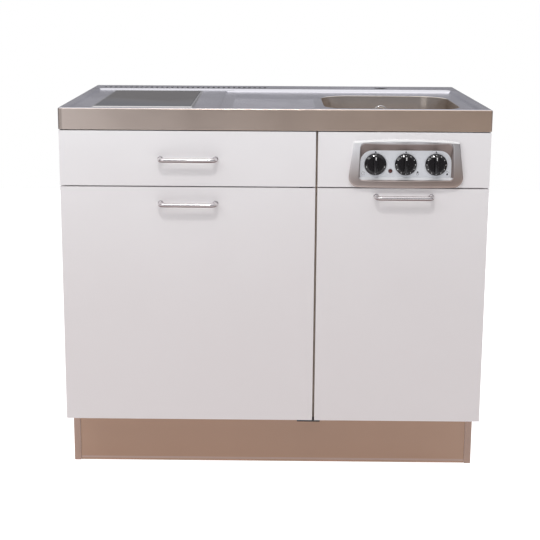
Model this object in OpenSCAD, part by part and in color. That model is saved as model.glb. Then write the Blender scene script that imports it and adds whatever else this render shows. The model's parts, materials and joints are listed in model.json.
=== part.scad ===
// Kitchenette: a pressed steel worktop with sink and hob over a drawer, a built-in refrigerator
// and a sink cupboard. Inside at_unit(), x runs from the left end, y from the faces of the doors
// to the wall and z from the floor.

/* [Unit] */
// Width of the worktop
unit_w = 1000; // [950:5:1100]
// Depth of the worktop from its front edge to the wall
unit_d = 600; // [590:5:640]
// Height of the worktop above the floor
unit_h = 900; // [860:5:930]
// Middle of the centre panel from the right end
split_in = 402; // [396:1:408]
// Thickness of the carcass boards
board_t = 16; // [15:0.5:18]
// Distance of the side panels from the worktop's ends and of the backs from the wall
side_inset = 2; // [1.8:0.1:3]
// Thickness of the thin back panel and of the drawer bottom
thin_t = 4; // [3:0.5:6]

/* [Fronts] */
// Thickness of doors, drawer front and fascia
front_t = 18; // [16:0.5:19]
// Gap between the backs of the fronts and the carcass
door_clear = 4.5; // [4:0.5:7]
// Gap between fronts that stand side by side
front_gap = 5; // [4:0.5:7]
// Gap between the upper and the lower fronts
row_gap = 3; // [2.8:0.1:4]
// Gap between the apron and the upper fronts
apron_gap = 2.5; // [2:0.5:4]
// Distance of the fronts from the worktop's ends
end_gap = 1.5; // [1:0.5:3]
// Height of the drawer front and the fascia
upper_front_h = 128.5; // [125:0.5:132]

/* [Plinth] */
// Height of the carcass floor's underside
plinth_h = 145; // [120:5:160]
// Distance of the feet of the side panels behind the doors
toe_recess = 88; // [70:2:110]
// Distance of the plinth board behind the feet
plinth_set = 3; // [1:0.5:6]

/* [Worktop] */
// Thickness of the pressed sheet
sheet_t = 1.2; // [1:0.1:1.4]
// Height of the apron
apron_h = 50; // [45:1:55]
// Width of the raised rim at the two ends
rim_w = 21; // [20:0.5:26]
// Width of the raised rim at the front
front_rim_w = 17; // [14:0.5:20]
// Depth of the raised deck at the wall
deck_d = 96; // [90:1:105]
// Depth of the pressing around the hob
hob_press = 4; // [3.5:0.5:5]
// Depth of the pressing of drainer and sink
sink_press = 7; // [6:0.5:9]
// Left end of the drainer's pressing
drainer_x = 362; // [350:1:375]
// Number of vent slots in the deck
vent_n = 32; // [10:1:32]
// Pitch of the vent slots
vent_pitch = 14.2; // [12:0.1:15]
// Width of a vent slot
vent_w = 6.3; // [5:0.1:8]
// Length of a vent slot
vent_l = 28; // [20:1:32]
// Radius of the tap hole
tap_r = 17.5; // [16:0.5:18]
// Tap hole from the right end
tap_end = 207; // [180:1:240]

/* [Sink] */
// Right edge of the bowl from the right end
bowl_end = 54; // [50:1:54]
// Width of the bowl
bowl_w = 328; // [310:1:330]
// Front edge of the bowl
bowl_y = 60; // [58:1:66]
// Length of the bowl from front to back
bowl_l = 340; // [320:1:345]
// Corner radius of the bowl
bowl_r = 85; // [75:1:95]
// Depth of the bowl below the drainer
bowl_depth = 150; // [140:1:160]
// Width of the bowl's flange under the worktop
bowl_flange = 8; // [6:0.5:9]
// Radius of the waste hole
waste_r = 44; // [40:0.5:46]
// Outer radius of the waste pipe
pipe_r = 20; // [18:0.5:22]
// Wall of the waste pipe and trap
pipe_wall = 2.5; // [2:0.1:3]
// Distance of the waste outlet below the worktop
outlet_drop = 340; // [310:5:380]
// Height of the overflow's middle below the drainer
overflow_drop = 42; // [38:1:48]
// Radius of the overflow rose
overflow_r = 17.5; // [16:0.5:19]

/* [Hob] */
// Left edge of the hob frame
hob_x = 71; // [66:1:80]
// Front edge of the hob frame
hob_y = 36; // [34:1:42]
// Width of the hob frame
hob_w = 238; // [230:1:244]
// Length of the hob frame
hob_l = 411; // [400:1:416]
// Width of the frame around the glass
hob_frame_w = 7; // [5:0.5:9]
// Height of the pan under the glass
pan_h = 36; // [30:1:38]
// Radius of the rear heater
rear_heater_r = 80; // [70:1:85]
// Radius of the front heater
front_heater_r = 62; // [55:1:75]

/* [Controls] */
// Distance of the middle knob from the right end
panel_in = 196; // [190:1:202]
// Distance of the knobs' axes below the worktop
knob_drop = 127.5; // [124:0.5:130]
// Pitch of the knobs
knob_pitch = 70.2; // [66:0.2:72]
// Radius of a knob
knob_r = 25.5; // [22:0.5:27]
// Distance that the bezel stands out
bezel_proud = 14; // [10:1:20]
// Depth of the control plate behind the fascia's face
plate_y = 4; // [2:0.5:6]
// Thickness of the control plate
plate_t = 2; // [1.5:0.5:3]
// Radius of a knob's spindle
spindle_r = 3; // [2.5:0.5:3.5]
// Radius of the lamp
lamp_r = 5; // [4:0.5:6]

/* [Handles] */
// Radius of the handle bar
handle_r = 5; // [4:0.5:6]
// Distance between the handle's legs
handle_cc = 128; // [96:16:160]
// Distance that the handle stands out
handle_proud = 30; // [26:1:36]
// Distance of the drawer handle below the worktop
drawer_handle_drop = 117.5; // [100:0.5:140]
// Distance of the left door's handle below its top edge
left_handle_drop = 38; // [30:1:60]
// Distance of the right door's handle below its top edge
right_handle_drop = 18.5; // [16:0.5:30]

/* [Drawer] */
// Length of the drawer box
drawer_l = 450; // [400:10:500]
// Height of the drawer box
drawer_h = 80; // [70:1:88]
// Thickness of the drawer's sides
drawer_side_t = 12; // [10:0.5:15]
// Space for the slides on each side
slide_space = 12.7; // [12:0.1:14]
// Height of the slides
slide_h = 35; // [30:1:40]

/* [Refrigerator] */
// Gap beside the refrigerator
fridge_gap = 16; // [14:0.5:26]
// Wall of the insulated case
fridge_wall = 38; // [30:1:45]
// Thickness of the insulated door
fridge_door_t = 52; // [45:1:56]
// Thickness of the liner
liner_t = 2; // [1.5:0.5:3]
// Radius of the pivot pins
pin_r = 4; // [3:0.5:4.5]
// Thickness of the lower pivot plate
pivot_t = 3; // [2.5:0.5:4]

/* [Hidden] */

round_fn = 64;
hull_fn = 32;
eps = 0.01;
seat = 0.3;          // clearance between a moving piece and what it passes

// lines that the pieces share
apron_z = unit_h - apron_h;
front_top = apron_z - apron_gap;
row_z = front_top - upper_front_h;
door_top = row_z - row_gap;
door_foot = plinth_h + 1;
carcass_y = front_t + door_clear;
back_y = unit_d - side_inset;
left_in = side_inset + board_t;
right_in = unit_w - left_in;
split_x = unit_w - split_in;
mid_l = split_x - board_t / 2;
mid_r = split_x + board_t / 2;
floor_top = plinth_h + board_t;
front_split_l = split_x - front_gap / 2;
front_split_r = split_x + front_gap / 2;
plinth_y = toe_recess + plinth_set;
deck_y = unit_d - deck_d;
hob_floor = unit_h - hob_press;
sink_floor = unit_h - sink_press;
sink_under = sink_floor - sheet_t;
press_lap = 40;      // overlap of the two pressings
vent_x = 30;
vent_in = 23;        // distance of the slots behind the deck's front edge
tap_in = 43;
tap_x = unit_w - tap_end;

// hob
glass_lap = 5;
pan_gap = 2;
pan_t = 1;
cut_x = hob_x + hob_frame_w + glass_lap;
cut_y = hob_y + hob_frame_w + glass_lap;
cut_w = hob_w - 2 * (hob_frame_w + glass_lap);
cut_l = hob_l - 2 * (hob_frame_w + glass_lap);
pan_z = hob_floor - pan_h;
heater_x = hob_x + hob_w / 2;
heater_h = 22;
heater_foot_r = 30;
heater_wall = 6;
heater_dish = 8;
rear_heater_y = cut_y + cut_l - rear_heater_r - 12;
front_heater_y = cut_y + front_heater_r + 16;

// rails
rail_top = pan_z - 2;
rail_z = rail_top - board_t;
left_rail_w = 78;
right_rail_w = 30;
right_rail_h = 16;
under_rail_w = 70;
back_rail_h = 64;
upper_plate_t = row_gap - 1;
under_rail_top = door_top + 0.5;

// sink
bowl_inset = [0, 8, 16, 36];      // steps of the wall from the top to the bottom
bowl_rise = [1, 0.2, 0.06, 0];    // their heights as shares of the depth
bowl_x = unit_w - bowl_end - bowl_w;
bowl_z = sink_floor - bowl_depth;
waste_x = bowl_x + bowl_w / 2;
waste_y = bowl_y + bowl_l / 2;
strainer_gap = 0.3;
strainer_lip = 8;
strainer_h = 44;
strainer_z = bowl_z - strainer_h;
tail_h = 40;
trap_r = 34;
trap_h = 110;
outlet_z = unit_h - outlet_drop;
trap_top = outlet_z + 40;
neck_r = pipe_r + 6;
pipe_room = 12;       // room round the waste pipe in the back panel
socket_r = pipe_r + 0.1;
socket_l = 40;
overflow_x = waste_x - 2;
overflow_z = sink_floor - overflow_drop;
overflow_hole_r = overflow_r - 4;
rose_hub_r = 2.6;
rose_arm_w = 3;
overflow_inset = bowl_inset[1] * overflow_drop / (bowl_depth * (1 - bowl_rise[1]));
overflow_wall_y = bowl_y + bowl_l - overflow_inset;
overflow_pipe_r = 10;
overflow_down_y = bowl_y + bowl_l + bowl_flange + 18;
overflow_in_z = bowl_z - 26;
spigot_y = waste_y + waste_r + 6;

// controls
panel_x = unit_w - panel_in;
knob_z = unit_h - knob_drop;
bezel_top = front_top - 21.5;
bezel_foot = door_top + 0.8;
bezel_top_half = 124.5;
bezel_low_half = 133;
bezel_low_r = 22;
open_half = 109;
open_foot = knob_z - 35.5;
open_top = bezel_top - 5;
open_r = 8;
plate_half = 105.5;
plate_foot = knob_z - 33.5;
plate_top = knob_z + 32.5;
plate_round = 28;
sleeve_half = open_half + 5;
sleeve_foot = open_foot - 2;
plate_rim = 2;        // width of the seat that the plate lies against
plate_play = 0.2;
lamp_neck = 0.8;      // how much the lamp's stem is thinner than its lens
insert_back = plate_y + plate_t + plate_rim;
cut_gap = 0.5;
neck_hole_r = spindle_r + 2;
switch_w = 44;
switch_l = 32;
switch_depth = 32;
timer_depth = 40;
bore_l = 16;         // depth of the spindle's bore
spindle_l = 14;      // length of the spindle in it
skirt_t = 7;
knob_gap = 0.8;
grip_w = 11;
grip_h = 10;
run_gap = 0.05;
lamp_dx = -35.3;
lamp_l = 14;
lamp_z = knob_z - 15.5;

// handles
handle_bend = 11;
foot_r = 6.5;
foot_t = 2;
screw_r = 2;
screw_head_r = 4;
screw_sink = 3;
drawer_handle_z = unit_h - drawer_handle_drop;
drawer_handle_x = (end_gap + front_split_l) / 2 + 1;
left_handle_z = door_top - left_handle_drop;
right_handle_z = door_top - right_handle_drop;
right_handle_x = (front_split_r + unit_w - end_gap) / 2 + 1.5;

// drawer
drawer_x0 = left_in + slide_space;
drawer_x1 = mid_l - slide_space;
drawer_z = row_z + 16;
drawer_y1 = front_t + drawer_l;
bottom_lift = 10;
rail_t = 1.2;
slide_mid = drawer_z + drawer_h / 2;

// refrigerator and its pivots
pivot_in = front_t / 2;
pivot_x = front_split_l - pivot_in;
pivot_y = front_t / 2;
bush_wall = 2;
pin_l = 14;
fridge_x = left_in + fridge_gap;
fridge_w = mid_l - fridge_gap - fridge_x;
fridge_front = front_t + fridge_door_t + 4;
condenser_room = 38;
fridge_back = back_y - condenser_room;
fridge_top = under_rail_top - board_t - 7;
niche_l = 130;       // depth and height of the compressor's niche
niche_h = 170;
niche_y = fridge_back - niche_l;
niche_z = floor_top + niche_h;
fridge_door_z = floor_top + 5;
gasket_w = 14;
gasket_in = 2;
cave_z = floor_top + fridge_wall;
cave_top = fridge_top - fridge_wall;
cave_x0 = fridge_x + fridge_wall;
cave_x1 = fridge_x + fridge_w - fridge_wall;
cave_back = fridge_back - fridge_wall;
step_y = niche_y - fridge_wall;
step_z = niche_z + fridge_wall;
plate_reach = 27.5;
plate_back = 60;
lower_screws = [-23, 5];
upper_screws = [-20, -4];
pivot_screw_y = 44;
rack_in = 20;        // depth of the pocket that the rack stands in
rack_l = 70;
rack_h = 70;
rack_t = 3;

// concealed hinges of the right door
hinge_x = unit_w - end_gap - front_t / 2;
hinge_y = front_t / 2;
hinge_end = 80;
hinge_zs = [door_foot + hinge_end, door_top - hinge_end];
cup_r = 17.5;
cup_depth = 13;
cup_wall = 1;
cup_x = unit_w - end_gap - 21.5;
hinge_pin_r = 1.5;
knuckle_r = 2.5;
arm_w = 8;
arm_t = 3;
arm_in = 16;         // distance of the arm's straight from the pin
arm_foot = [22, 54]; // its plate on the side panel, behind the panel's edge
arm_foot_h = 44;

module at_unit() translate([-unit_w / 2, -(unit_d - handle_proud) / 2, 0]) children();

// box between two opposite corners
module block(lo, hi) translate(lo) cube([hi[0] - lo[0], hi[1] - lo[1], hi[2] - lo[2]]);

// outline of a rounded rectangle between two corners
module round_plan(lo, hi, r) {
    translate([lo[0] + r, lo[1]]) square([hi[0] - lo[0] - 2 * r, hi[1] - lo[1]]);
    translate([lo[0], lo[1] + r]) square([hi[0] - lo[0], hi[1] - lo[1] - 2 * r]);
    for (x = [lo[0] + r, hi[0] - r], y = [lo[1] + r, hi[1] - r])
        translate([x, y]) circle(r, $fn = $fn);
}

// thin rounded slab at a height, for the hulls of pressed shapes
module slab(z, t, lo, hi, r) translate([0, 0, z]) linear_extrude(t)
    round_plan(lo, hi, r, $fn = hull_fn);

// cylinder along y between two depths
module rod_y(x, z, r, y0, y1) translate([x, y0, z]) rotate([-90, 0, 0])
    cylinder(r = r, h = y1 - y0, $fn = round_fn);

// cylinder along z between two heights
module rod_z(x, y, r, z0, z1) translate([x, y, z0])
    cylinder(r = r, h = z1 - z0, $fn = round_fn);

// pressing with sloped edges: its cutter with grow = 0, its underside with grow = sheet_t
module pressing(x0, x1, rear, drop, side_run, rear_run, grow) {
    lo = [x0 - grow, front_rim_w - grow];
    hi = [x1 + grow, rear + grow];
    top = grow == 0 ? unit_h : unit_h - sheet_t;
    hull() {
        slab(top, grow == 0 ? 1 : eps, lo, hi, 16 + grow);
        slab(unit_h - drop - grow, eps, [lo[0] + side_run, lo[1] + side_run],
            [hi[0] - side_run, hi[1] - rear_run], 12 + grow);
    }
}

module pressings(grow) {
    pressing(rim_w, drainer_x + press_lap, deck_y, hob_press, 7, 12, grow);
    pressing(drainer_x, unit_w - rim_w, deck_y, sink_press, 10, 26, grow);
}

module worktop() color("silver") at_unit() difference() {
    union() {
        difference() {
            block([0, 0, apron_z], [unit_w, unit_d, unit_h]);
            block([sheet_t, sheet_t, apron_z - 1],
                [unit_w - sheet_t, unit_d - sheet_t, unit_h - sheet_t]);
        }
        pressings(sheet_t);
    }
    pressings(0);
    translate([0, 0, sink_floor - 20]) linear_extrude(40)
        round_plan([bowl_x, bowl_y], [bowl_x + bowl_w, bowl_y + bowl_l], bowl_r, $fn = round_fn);
    block([cut_x, cut_y, apron_z], [cut_x + cut_w, cut_y + cut_l, unit_h + 1]);
    rod_z(tap_x, deck_y + tap_in, tap_r, unit_h - 10, unit_h + 1);
    for (i = [0 : vent_n - 1]) translate([vent_x + i * vent_pitch, deck_y + vent_in, unit_h - 5])
        cube([vent_w, vent_l, 10]);
}

// stack of outlines that narrow towards the bottom of the bowl
module bowl_form(grow) hull() for (i = [0 : 3]) {
    inset = bowl_inset[i] - grow;
    slab(bowl_z - grow + (bowl_depth + grow) * bowl_rise[i] - (i == 0 ? eps : 0), eps,
        [bowl_x + inset, bowl_y + inset],
        [bowl_x + bowl_w - inset, bowl_y + bowl_l - inset], bowl_r - inset);
}

module sink_bowl() color("lightgray") at_unit() difference() {
    union() {
        intersection() {
            bowl_form(sheet_t);
            block([bowl_x - 10, bowl_y - 10, 0],
                [bowl_x + bowl_w + 10, bowl_y + bowl_l + 10, sink_under]);
        }
        translate([0, 0, sink_under - sheet_t]) linear_extrude(sheet_t)
            round_plan([bowl_x - bowl_flange, bowl_y - bowl_flange],
                [bowl_x + bowl_w + bowl_flange, bowl_y + bowl_l + bowl_flange],
                bowl_r + bowl_flange, $fn = round_fn);
    }
    bowl_form(0);
    rod_z(waste_x, waste_y, waste_r, bowl_z - 10, bowl_z + 10);
    rod_y(overflow_x, overflow_z, overflow_hole_r, overflow_wall_y - 10, unit_d);
}

// chromed rose with three arms over the overflow, and its sleeve through the bowl wall
module overflow_rose() color("gainsboro") at_unit() {
    face_y = overflow_wall_y - 4.5;
    difference() {
        union() {
            rod_y(overflow_x, overflow_z, overflow_r, face_y, face_y + 3);
            rod_y(overflow_x, overflow_z, overflow_hole_r - 0.2, face_y + 1, overflow_wall_y + 6);
        }
        rod_y(overflow_x, overflow_z, overflow_hole_r - 2, face_y - 1, overflow_wall_y + 8);
    }
    rod_y(overflow_x, overflow_z, rose_hub_r, face_y + 0.3, face_y + 2.7);
    for (a = [90, 210, 330]) translate([overflow_x, face_y + 0.6, overflow_z]) rotate([0, a, 0])
        translate([0, 0, -rose_arm_w / 2]) cube([overflow_hole_r - 1, 1.8, rose_arm_w]);
}

module overflow_pipe() color("white") at_unit() {
    elbow_y = overflow_wall_y + 6;
    rod_y(overflow_x, overflow_z, overflow_hole_r + 1, elbow_y, overflow_down_y);
    rod_z(overflow_x, overflow_down_y, overflow_pipe_r, overflow_in_z, overflow_z);
    translate([overflow_x, overflow_down_y, overflow_in_z]) sphere(overflow_pipe_r, $fn = round_fn);
    translate([overflow_x, overflow_down_y, overflow_z]) sphere(overflow_hole_r + 1, $fn = round_fn);
    rod_y(overflow_x, overflow_in_z, overflow_pipe_r, spigot_y, overflow_down_y);
}

// strainer: lip in the bowl, cup with a slotted grid and tail, and the overflow's spigot
module sink_strainer() color("gainsboro") at_unit() {
    body_r = waste_r - strainer_gap;
    tail_r = pipe_r - pipe_wall - strainer_gap;
    difference() {
        union() {
            rod_z(waste_x, waste_y, waste_r + strainer_lip, bowl_z, bowl_z + 1.5);
            rod_z(waste_x, waste_y, body_r, strainer_z, bowl_z + 1);
            rod_z(waste_x, waste_y, tail_r, strainer_z - tail_h, strainer_z + 1);
            rod_y(overflow_x, overflow_in_z, overflow_pipe_r, waste_y, spigot_y);
        }
        rod_z(waste_x, waste_y, body_r - 2, strainer_z + 2, bowl_z + 2);
        rod_z(waste_x, waste_y, tail_r - pipe_wall, strainer_z - tail_h - 1, strainer_z + 3);
    }
    difference() {
        rod_z(waste_x, waste_y, body_r - 1, bowl_z - 12, bowl_z - 10);
        for (a = [0 : 45 : 315]) translate([waste_x, waste_y, bowl_z - 15]) rotate([0, 0, a])
            for (d = [14, 28]) translate([d, 0, 0]) cylinder(r = 4, h = 10, $fn = 24);
        rod_z(waste_x, waste_y, 4, bowl_z - 15, bowl_z - 5);
    }
}

// bottle trap: upper tube with nut, bottle with screwed cup, and the side socket
module waste_trap() color("white") at_unit() difference() {
    union() {
        rod_z(waste_x, waste_y, pipe_r, trap_top - 1, strainer_z);
        rod_z(waste_x, waste_y, neck_r, strainer_z - 26, strainer_z - 2);
        rod_z(waste_x, waste_y, trap_r, trap_top - trap_h, trap_top);
        rod_z(waste_x, waste_y, trap_r + 4, trap_top - 64, trap_top - 48);
        rod_y(waste_x, outlet_z, neck_r, waste_y, waste_y + trap_r + 26);
    }
    rod_z(waste_x, waste_y, pipe_r - pipe_wall, trap_top - 30, strainer_z + 1);
    rod_z(waste_x, waste_y, trap_r - pipe_wall, trap_top - trap_h + pipe_wall, trap_top - pipe_wall);
    rod_y(waste_x, outlet_z, pipe_r - pipe_wall, waste_y, waste_y + trap_r + 30);
    rod_y(waste_x, outlet_z, pipe_r + run_gap, waste_y + trap_r + 6, waste_y + trap_r + 30);
}

// pipe from the trap to a socket that takes a pipe of its own size from the wall
module waste_pipe() color("white") at_unit() difference() {
    union() {
        rod_y(waste_x, outlet_z, pipe_r, waste_y + trap_r + 6 + seat, unit_d);
        rod_y(waste_x, outlet_z, socket_r + pipe_wall, unit_d - socket_l - pipe_wall, unit_d);
    }
    rod_y(waste_x, outlet_z, pipe_r - pipe_wall, waste_y, unit_d + 1);
    rod_y(waste_x, outlet_z, socket_r, unit_d - socket_l, unit_d + 1);
}

module hob_frame() color("silver") at_unit() difference() {
    hull() {
        slab(hob_floor, eps, [hob_x, hob_y], [hob_x + hob_w, hob_y + hob_l], 5);
        slab(unit_h - eps, eps, [hob_x + 4, hob_y + 4], [hob_x + hob_w - 4, hob_y + hob_l - 4], 3);
    }
    block([hob_x + hob_frame_w, hob_y + hob_frame_w, hob_floor - 1],
        [hob_x + hob_w - hob_frame_w, hob_y + hob_l - hob_frame_w, unit_h + 1]);
}

module hob_glass() color("#2c2b30") at_unit()
    block([hob_x + hob_frame_w, hob_y + hob_frame_w, hob_floor],
        [hob_x + hob_w - hob_frame_w, hob_y + hob_l - hob_frame_w, unit_h]);

module hob_pan() color("gray") at_unit() difference() {
    block([cut_x + pan_gap, cut_y + pan_gap, pan_z],
        [cut_x + cut_w - pan_gap, cut_y + cut_l - pan_gap, hob_floor]);
    block([cut_x + pan_gap + pan_t, cut_y + pan_gap + pan_t, pan_z + pan_t],
        [cut_x + cut_w - pan_gap - pan_t, cut_y + cut_l - pan_gap - pan_t, unit_h]);
}

// dish of a radiant heater on its foot
module heater(y, r) color("wheat") at_unit() translate([heater_x, y, 0]) rotate_extrude($fn = round_fn)
    polygon([[0, pan_z + pan_t], [heater_foot_r, pan_z + pan_t],
        [heater_foot_r, hob_floor - heater_h], [r, hob_floor - heater_h], [r, hob_floor],
        [r - heater_wall, hob_floor], [r - heater_wall, hob_floor - heater_dish],
        [0, hob_floor - heater_dish]]);

module rear_heater() heater(rear_heater_y, rear_heater_r);
module front_heater() heater(front_heater_y, front_heater_r);

// side panel with its toe notch, from x to x + board_t
module side_panel(x) color("whitesmoke") at_unit() difference() {
    block([x, carcass_y, 0], [x + board_t, back_y, unit_h - sheet_t]);
    block([x - 1, carcass_y - 1, -1], [x + board_t + 1, toe_recess, plinth_h]);
}

module left_side_panel() side_panel(side_inset);
module right_side_panel() side_panel(right_in);

module centre_panel() color("whitesmoke") at_unit() difference() {
    block([mid_l, carcass_y, 0], [mid_r, back_y, sink_under]);
    block([mid_l - 1, carcass_y - 1, -1], [mid_r + 1, plinth_y + board_t, plinth_h]);
}

module left_floor() color("whitesmoke") at_unit()
    block([left_in, carcass_y, plinth_h], [mid_l, back_y, floor_top]);
module right_floor() color("whitesmoke") at_unit()
    block([mid_r, carcass_y, plinth_h], [right_in, back_y, floor_top]);

module rail_under_drawer() color("whitesmoke") at_unit()
    block([left_in, carcass_y, under_rail_top - board_t],
        [mid_l, carcass_y + under_rail_w, under_rail_top]);
module left_top_rail() color("whitesmoke") at_unit()
    block([left_in, carcass_y, rail_z], [mid_l, carcass_y + left_rail_w, rail_top]);
// the sink cupboard's rail reaches forward to the back of the fascia
module right_top_rail() color("whitesmoke") at_unit()
    block([mid_r, front_t, rail_z - right_rail_h], [right_in, front_t + right_rail_w, rail_z]);

module back_rails() color("whitesmoke") at_unit() for (z = [floor_top, rail_top - back_rail_h])
    block([left_in, back_y - board_t, z], [mid_l, back_y, z + back_rail_h]);

module back_panel() color("white") at_unit() difference() {
    block([mid_r, back_y - thin_t, floor_top], [right_in, back_y, rail_top]);
    rod_y(waste_x, outlet_z, pipe_r + pipe_room, back_y - 2 * thin_t, back_y + thin_t);
}

module plinth_board() color("rosybrown") at_unit()
    block([left_in, plinth_y, 0], [right_in, plinth_y + board_t, plinth_h]);

// outline of the control plate in x and z, with wide upper corners
module plate_outline(grow) hull() {
    for (s = [-1, 1]) translate([panel_x + s * (plate_half - plate_round), plate_top - plate_round])
        circle(plate_round + grow, $fn = hull_fn);
    for (s = [-1, 1]) translate([panel_x + s * (plate_half - 3), plate_foot + 3])
        circle(3 + grow, $fn = hull_fn);
}

module opening_outline()
    round_plan([panel_x - open_half, open_foot], [panel_x + open_half, open_top], open_r, $fn = hull_fn);

// outline of the bezel's sleeve in the fascia
module sleeve_outline(grow)
    round_plan([panel_x - sleeve_half - grow, sleeve_foot - grow],
        [panel_x + sleeve_half + grow, open_top + grow], open_r, $fn = hull_fn);

module bezel_outline(shrink) hull() {
    for (s = [-1, 1]) translate([panel_x + s * (bezel_top_half - 4), bezel_top - 4])
        circle(4 - shrink / 2, $fn = hull_fn);
    for (s = [-1, 1]) translate([panel_x + s * (bezel_low_half - bezel_low_r),
            bezel_foot + bezel_low_r + 2])
        circle(bezel_low_r - shrink, $fn = hull_fn);
}

// outline in x and z stood up at a depth
module stand(y, t) translate([0, y + t, 0]) rotate([90, 0, 0]) linear_extrude(t) children();

module control_bezel() color("#b8b4b6") at_unit() difference() {
    union() {
        hull() {
            stand(-4, 4) bezel_outline(0);
            stand(-bezel_proud, eps) bezel_outline(3);
        }
        stand(-1, insert_back + 1) sleeve_outline(0);
    }
    hull() {
        stand(-bezel_proud - 1, 1) opening_outline();
        stand(plate_y - eps, 2 * eps) plate_outline(0);
    }
    stand(plate_y, insert_back) plate_outline(plate_rim);
}

module control_plate() color("lightsteelblue") at_unit() difference() {
    stand(plate_y, plate_t) plate_outline(plate_rim - plate_play);
    for (i = [-1 : 1])
        rod_y(panel_x + i * knob_pitch, knob_z, neck_hole_r, plate_y - 1, plate_y + plate_t + 1);
    rod_y(panel_x + lamp_dx, lamp_z, lamp_r - lamp_neck + 0.1, plate_y - 1, plate_y + plate_t + 1);
}

module lamp_lens() color("darkred") at_unit() translate([panel_x + lamp_dx, plate_y, lamp_z])
    rotate([90, 0, 0]) rotate_extrude($fn = round_fn)
        polygon([[0, -lamp_l], [lamp_r - lamp_neck, -lamp_l], [lamp_r - lamp_neck, 0], [lamp_r, 0],
            [lamp_r, 1], [lamp_r * 0.8, 2.2], [lamp_r * 0.45, 3], [0, 3.2]]);

module fascia() color("white") at_unit() difference() {
    block([front_split_r, 0, row_z], [unit_w - end_gap, front_t, front_top]);
    stand(-1, front_t + 2) sleeve_outline(cut_gap);
}

// body of a timer or switch behind the plate, with the bore that guides the spindle
module switch_body(i, depth) difference() {
    translate([panel_x + i * knob_pitch - switch_w / 2, plate_y + plate_t, knob_z - switch_l / 2])
        cube([switch_w, depth, switch_l]);
    rod_y(panel_x + i * knob_pitch, knob_z, spindle_r + run_gap, plate_y, plate_y + plate_t + bore_l);
}

module timer_body() color("dimgray") at_unit() switch_body(-1, timer_depth);
module zone_switches() color("beige") at_unit() for (i = [0, 1]) switch_body(i, switch_depth);

// knob with its skirt, domed face, grip and spindle
module knob(i) color("#1c1b1d") at_unit() translate([panel_x + i * knob_pitch, plate_y - knob_gap, knob_z]) {
    rotate([90, 0, 0]) rotate_extrude($fn = round_fn)
        polygon([[0, 0], [knob_r, 0], [knob_r, skirt_t - 3], [knob_r - 1, skirt_t - 1.5],
            [knob_r - 3.5, skirt_t - 0.4], [knob_r - 7, skirt_t], [0, skirt_t]]);
    intersection() {
        translate([-grip_w / 2, -skirt_t - grip_h, -knob_r]) cube([grip_w, grip_h + 1, 2 * knob_r]);
        rotate([90, 0, 0]) cylinder(r = knob_r - 3, h = 2 * grip_h + skirt_t, $fn = round_fn);
    }
    rotate([-90, 0, 0]) cylinder(r = spindle_r, h = plate_t + knob_gap + spindle_l, $fn = round_fn);
}

module timer_knob() knob(-1);
module rear_zone_knob() knob(0);
module front_zone_knob() knob(1);

// inside of the refrigerator, made smaller by t on every wall
module cave(t, front) {
    block([cave_x0 + t, front, step_z + t], [cave_x1 - t, cave_back - t, cave_top - t]);
    block([cave_x0 + t, front, cave_z + t], [cave_x1 - t, step_y - t, cave_top - t]);
}

module fridge_case() color("lightgray") at_unit() difference() {
    block([fridge_x, fridge_front, floor_top], [fridge_x + fridge_w, fridge_back, fridge_top]);
    block([fridge_x - 1, niche_y, floor_top - 1], [fridge_x + fridge_w + 1, fridge_back + 1, niche_z]);
    cave(0, fridge_front - 1);
}

// liner with two pairs of ribs that carry the shelves
rib_rise = [90, 70];
rib_zs = [cave_z + rib_rise[0], step_z + rib_rise[1]];
rib_in = 30;         // distance of a rib's ends from the liner's front and step
rib_w = 8;
rib_t = 5;
shelf_t = 4;
shelf_in = 76;
module fridge_liner() color("white") at_unit() {
    difference() {
        cave(0, fridge_front);
        cave(liner_t, fridge_front - 1);
    }
    for (z = rib_zs) {
        block([cave_x0 + liner_t, fridge_front + rib_in, z],
            [cave_x0 + liner_t + rib_w, step_y - rib_in, z + rib_t]);
        block([cave_x1 - liner_t - rib_w, fridge_front + rib_in, z],
            [cave_x1 - liner_t, step_y - rib_in, z + rib_t]);
    }
}

module fridge_shelves() color("lightcyan") at_unit() for (z = rib_zs)
    block([cave_x0 + liner_t + 1, fridge_front + shelf_in, z + rib_t],
        [cave_x1 - liner_t - 1, step_y - liner_t - 4, z + rib_t + shelf_t]);

// domed compressor on its foot plate, its outline in shares of radius and height
shell_r = 56;
shell_h = 123;
shell_form = [[0, 0.02], [0.9, 0.02], [0.9, 0.07], [0.97, 0.13], [1, 0.49], [0.95, 0.72], [0.75, 0.88],
    [0.4, 0.98], [0, 1]];
shell_plate = [140, 100, 4];
module compressor() color("#222222") at_unit()
    translate([fridge_x + 0.72 * fridge_w, (niche_y + fridge_back) / 2, floor_top]) {
        translate([-shell_plate[0] / 2, -shell_plate[1] / 2, 0]) cube(shell_plate);
        rotate_extrude($fn = round_fn) polygon([for (p = shell_form) [p[0] * shell_r, p[1] * shell_h]]);
    }

// plate condenser with its louvres, stood off the back of the case
fin_in = 40;
fin_end = 20;
fin_off = 8;
fin_t = 1.5;
louvre_in = 70;
louvre_pitch = 24;
louvre_h = 8;
module condenser() color("#2a2a2a") at_unit() {
    low_z = niche_z + fin_end;
    high_z = fridge_top - fin_end;
    right_x = fridge_x + fridge_w;
    difference() {
        block([fridge_x + fin_in, fridge_back + fin_off, low_z],
            [right_x - fin_in, fridge_back + fin_off + fin_t, high_z]);
        for (z = [low_z + fin_end : louvre_pitch : high_z - 1.5 * fin_end])
            block([fridge_x + louvre_in, fridge_back, z],
                [right_x - louvre_in, fridge_back + 2 * fin_off, z + louvre_h]);
    }
    for (x = [fridge_x + fin_in + fin_off, right_x - fin_in - 2 * fin_off],
            z = [low_z + fin_off / 2, high_z - 2 * fin_off])
        block([x, fridge_back, z], [x + fin_off, fridge_back + fin_off, z + fin_off]);
}

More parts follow.
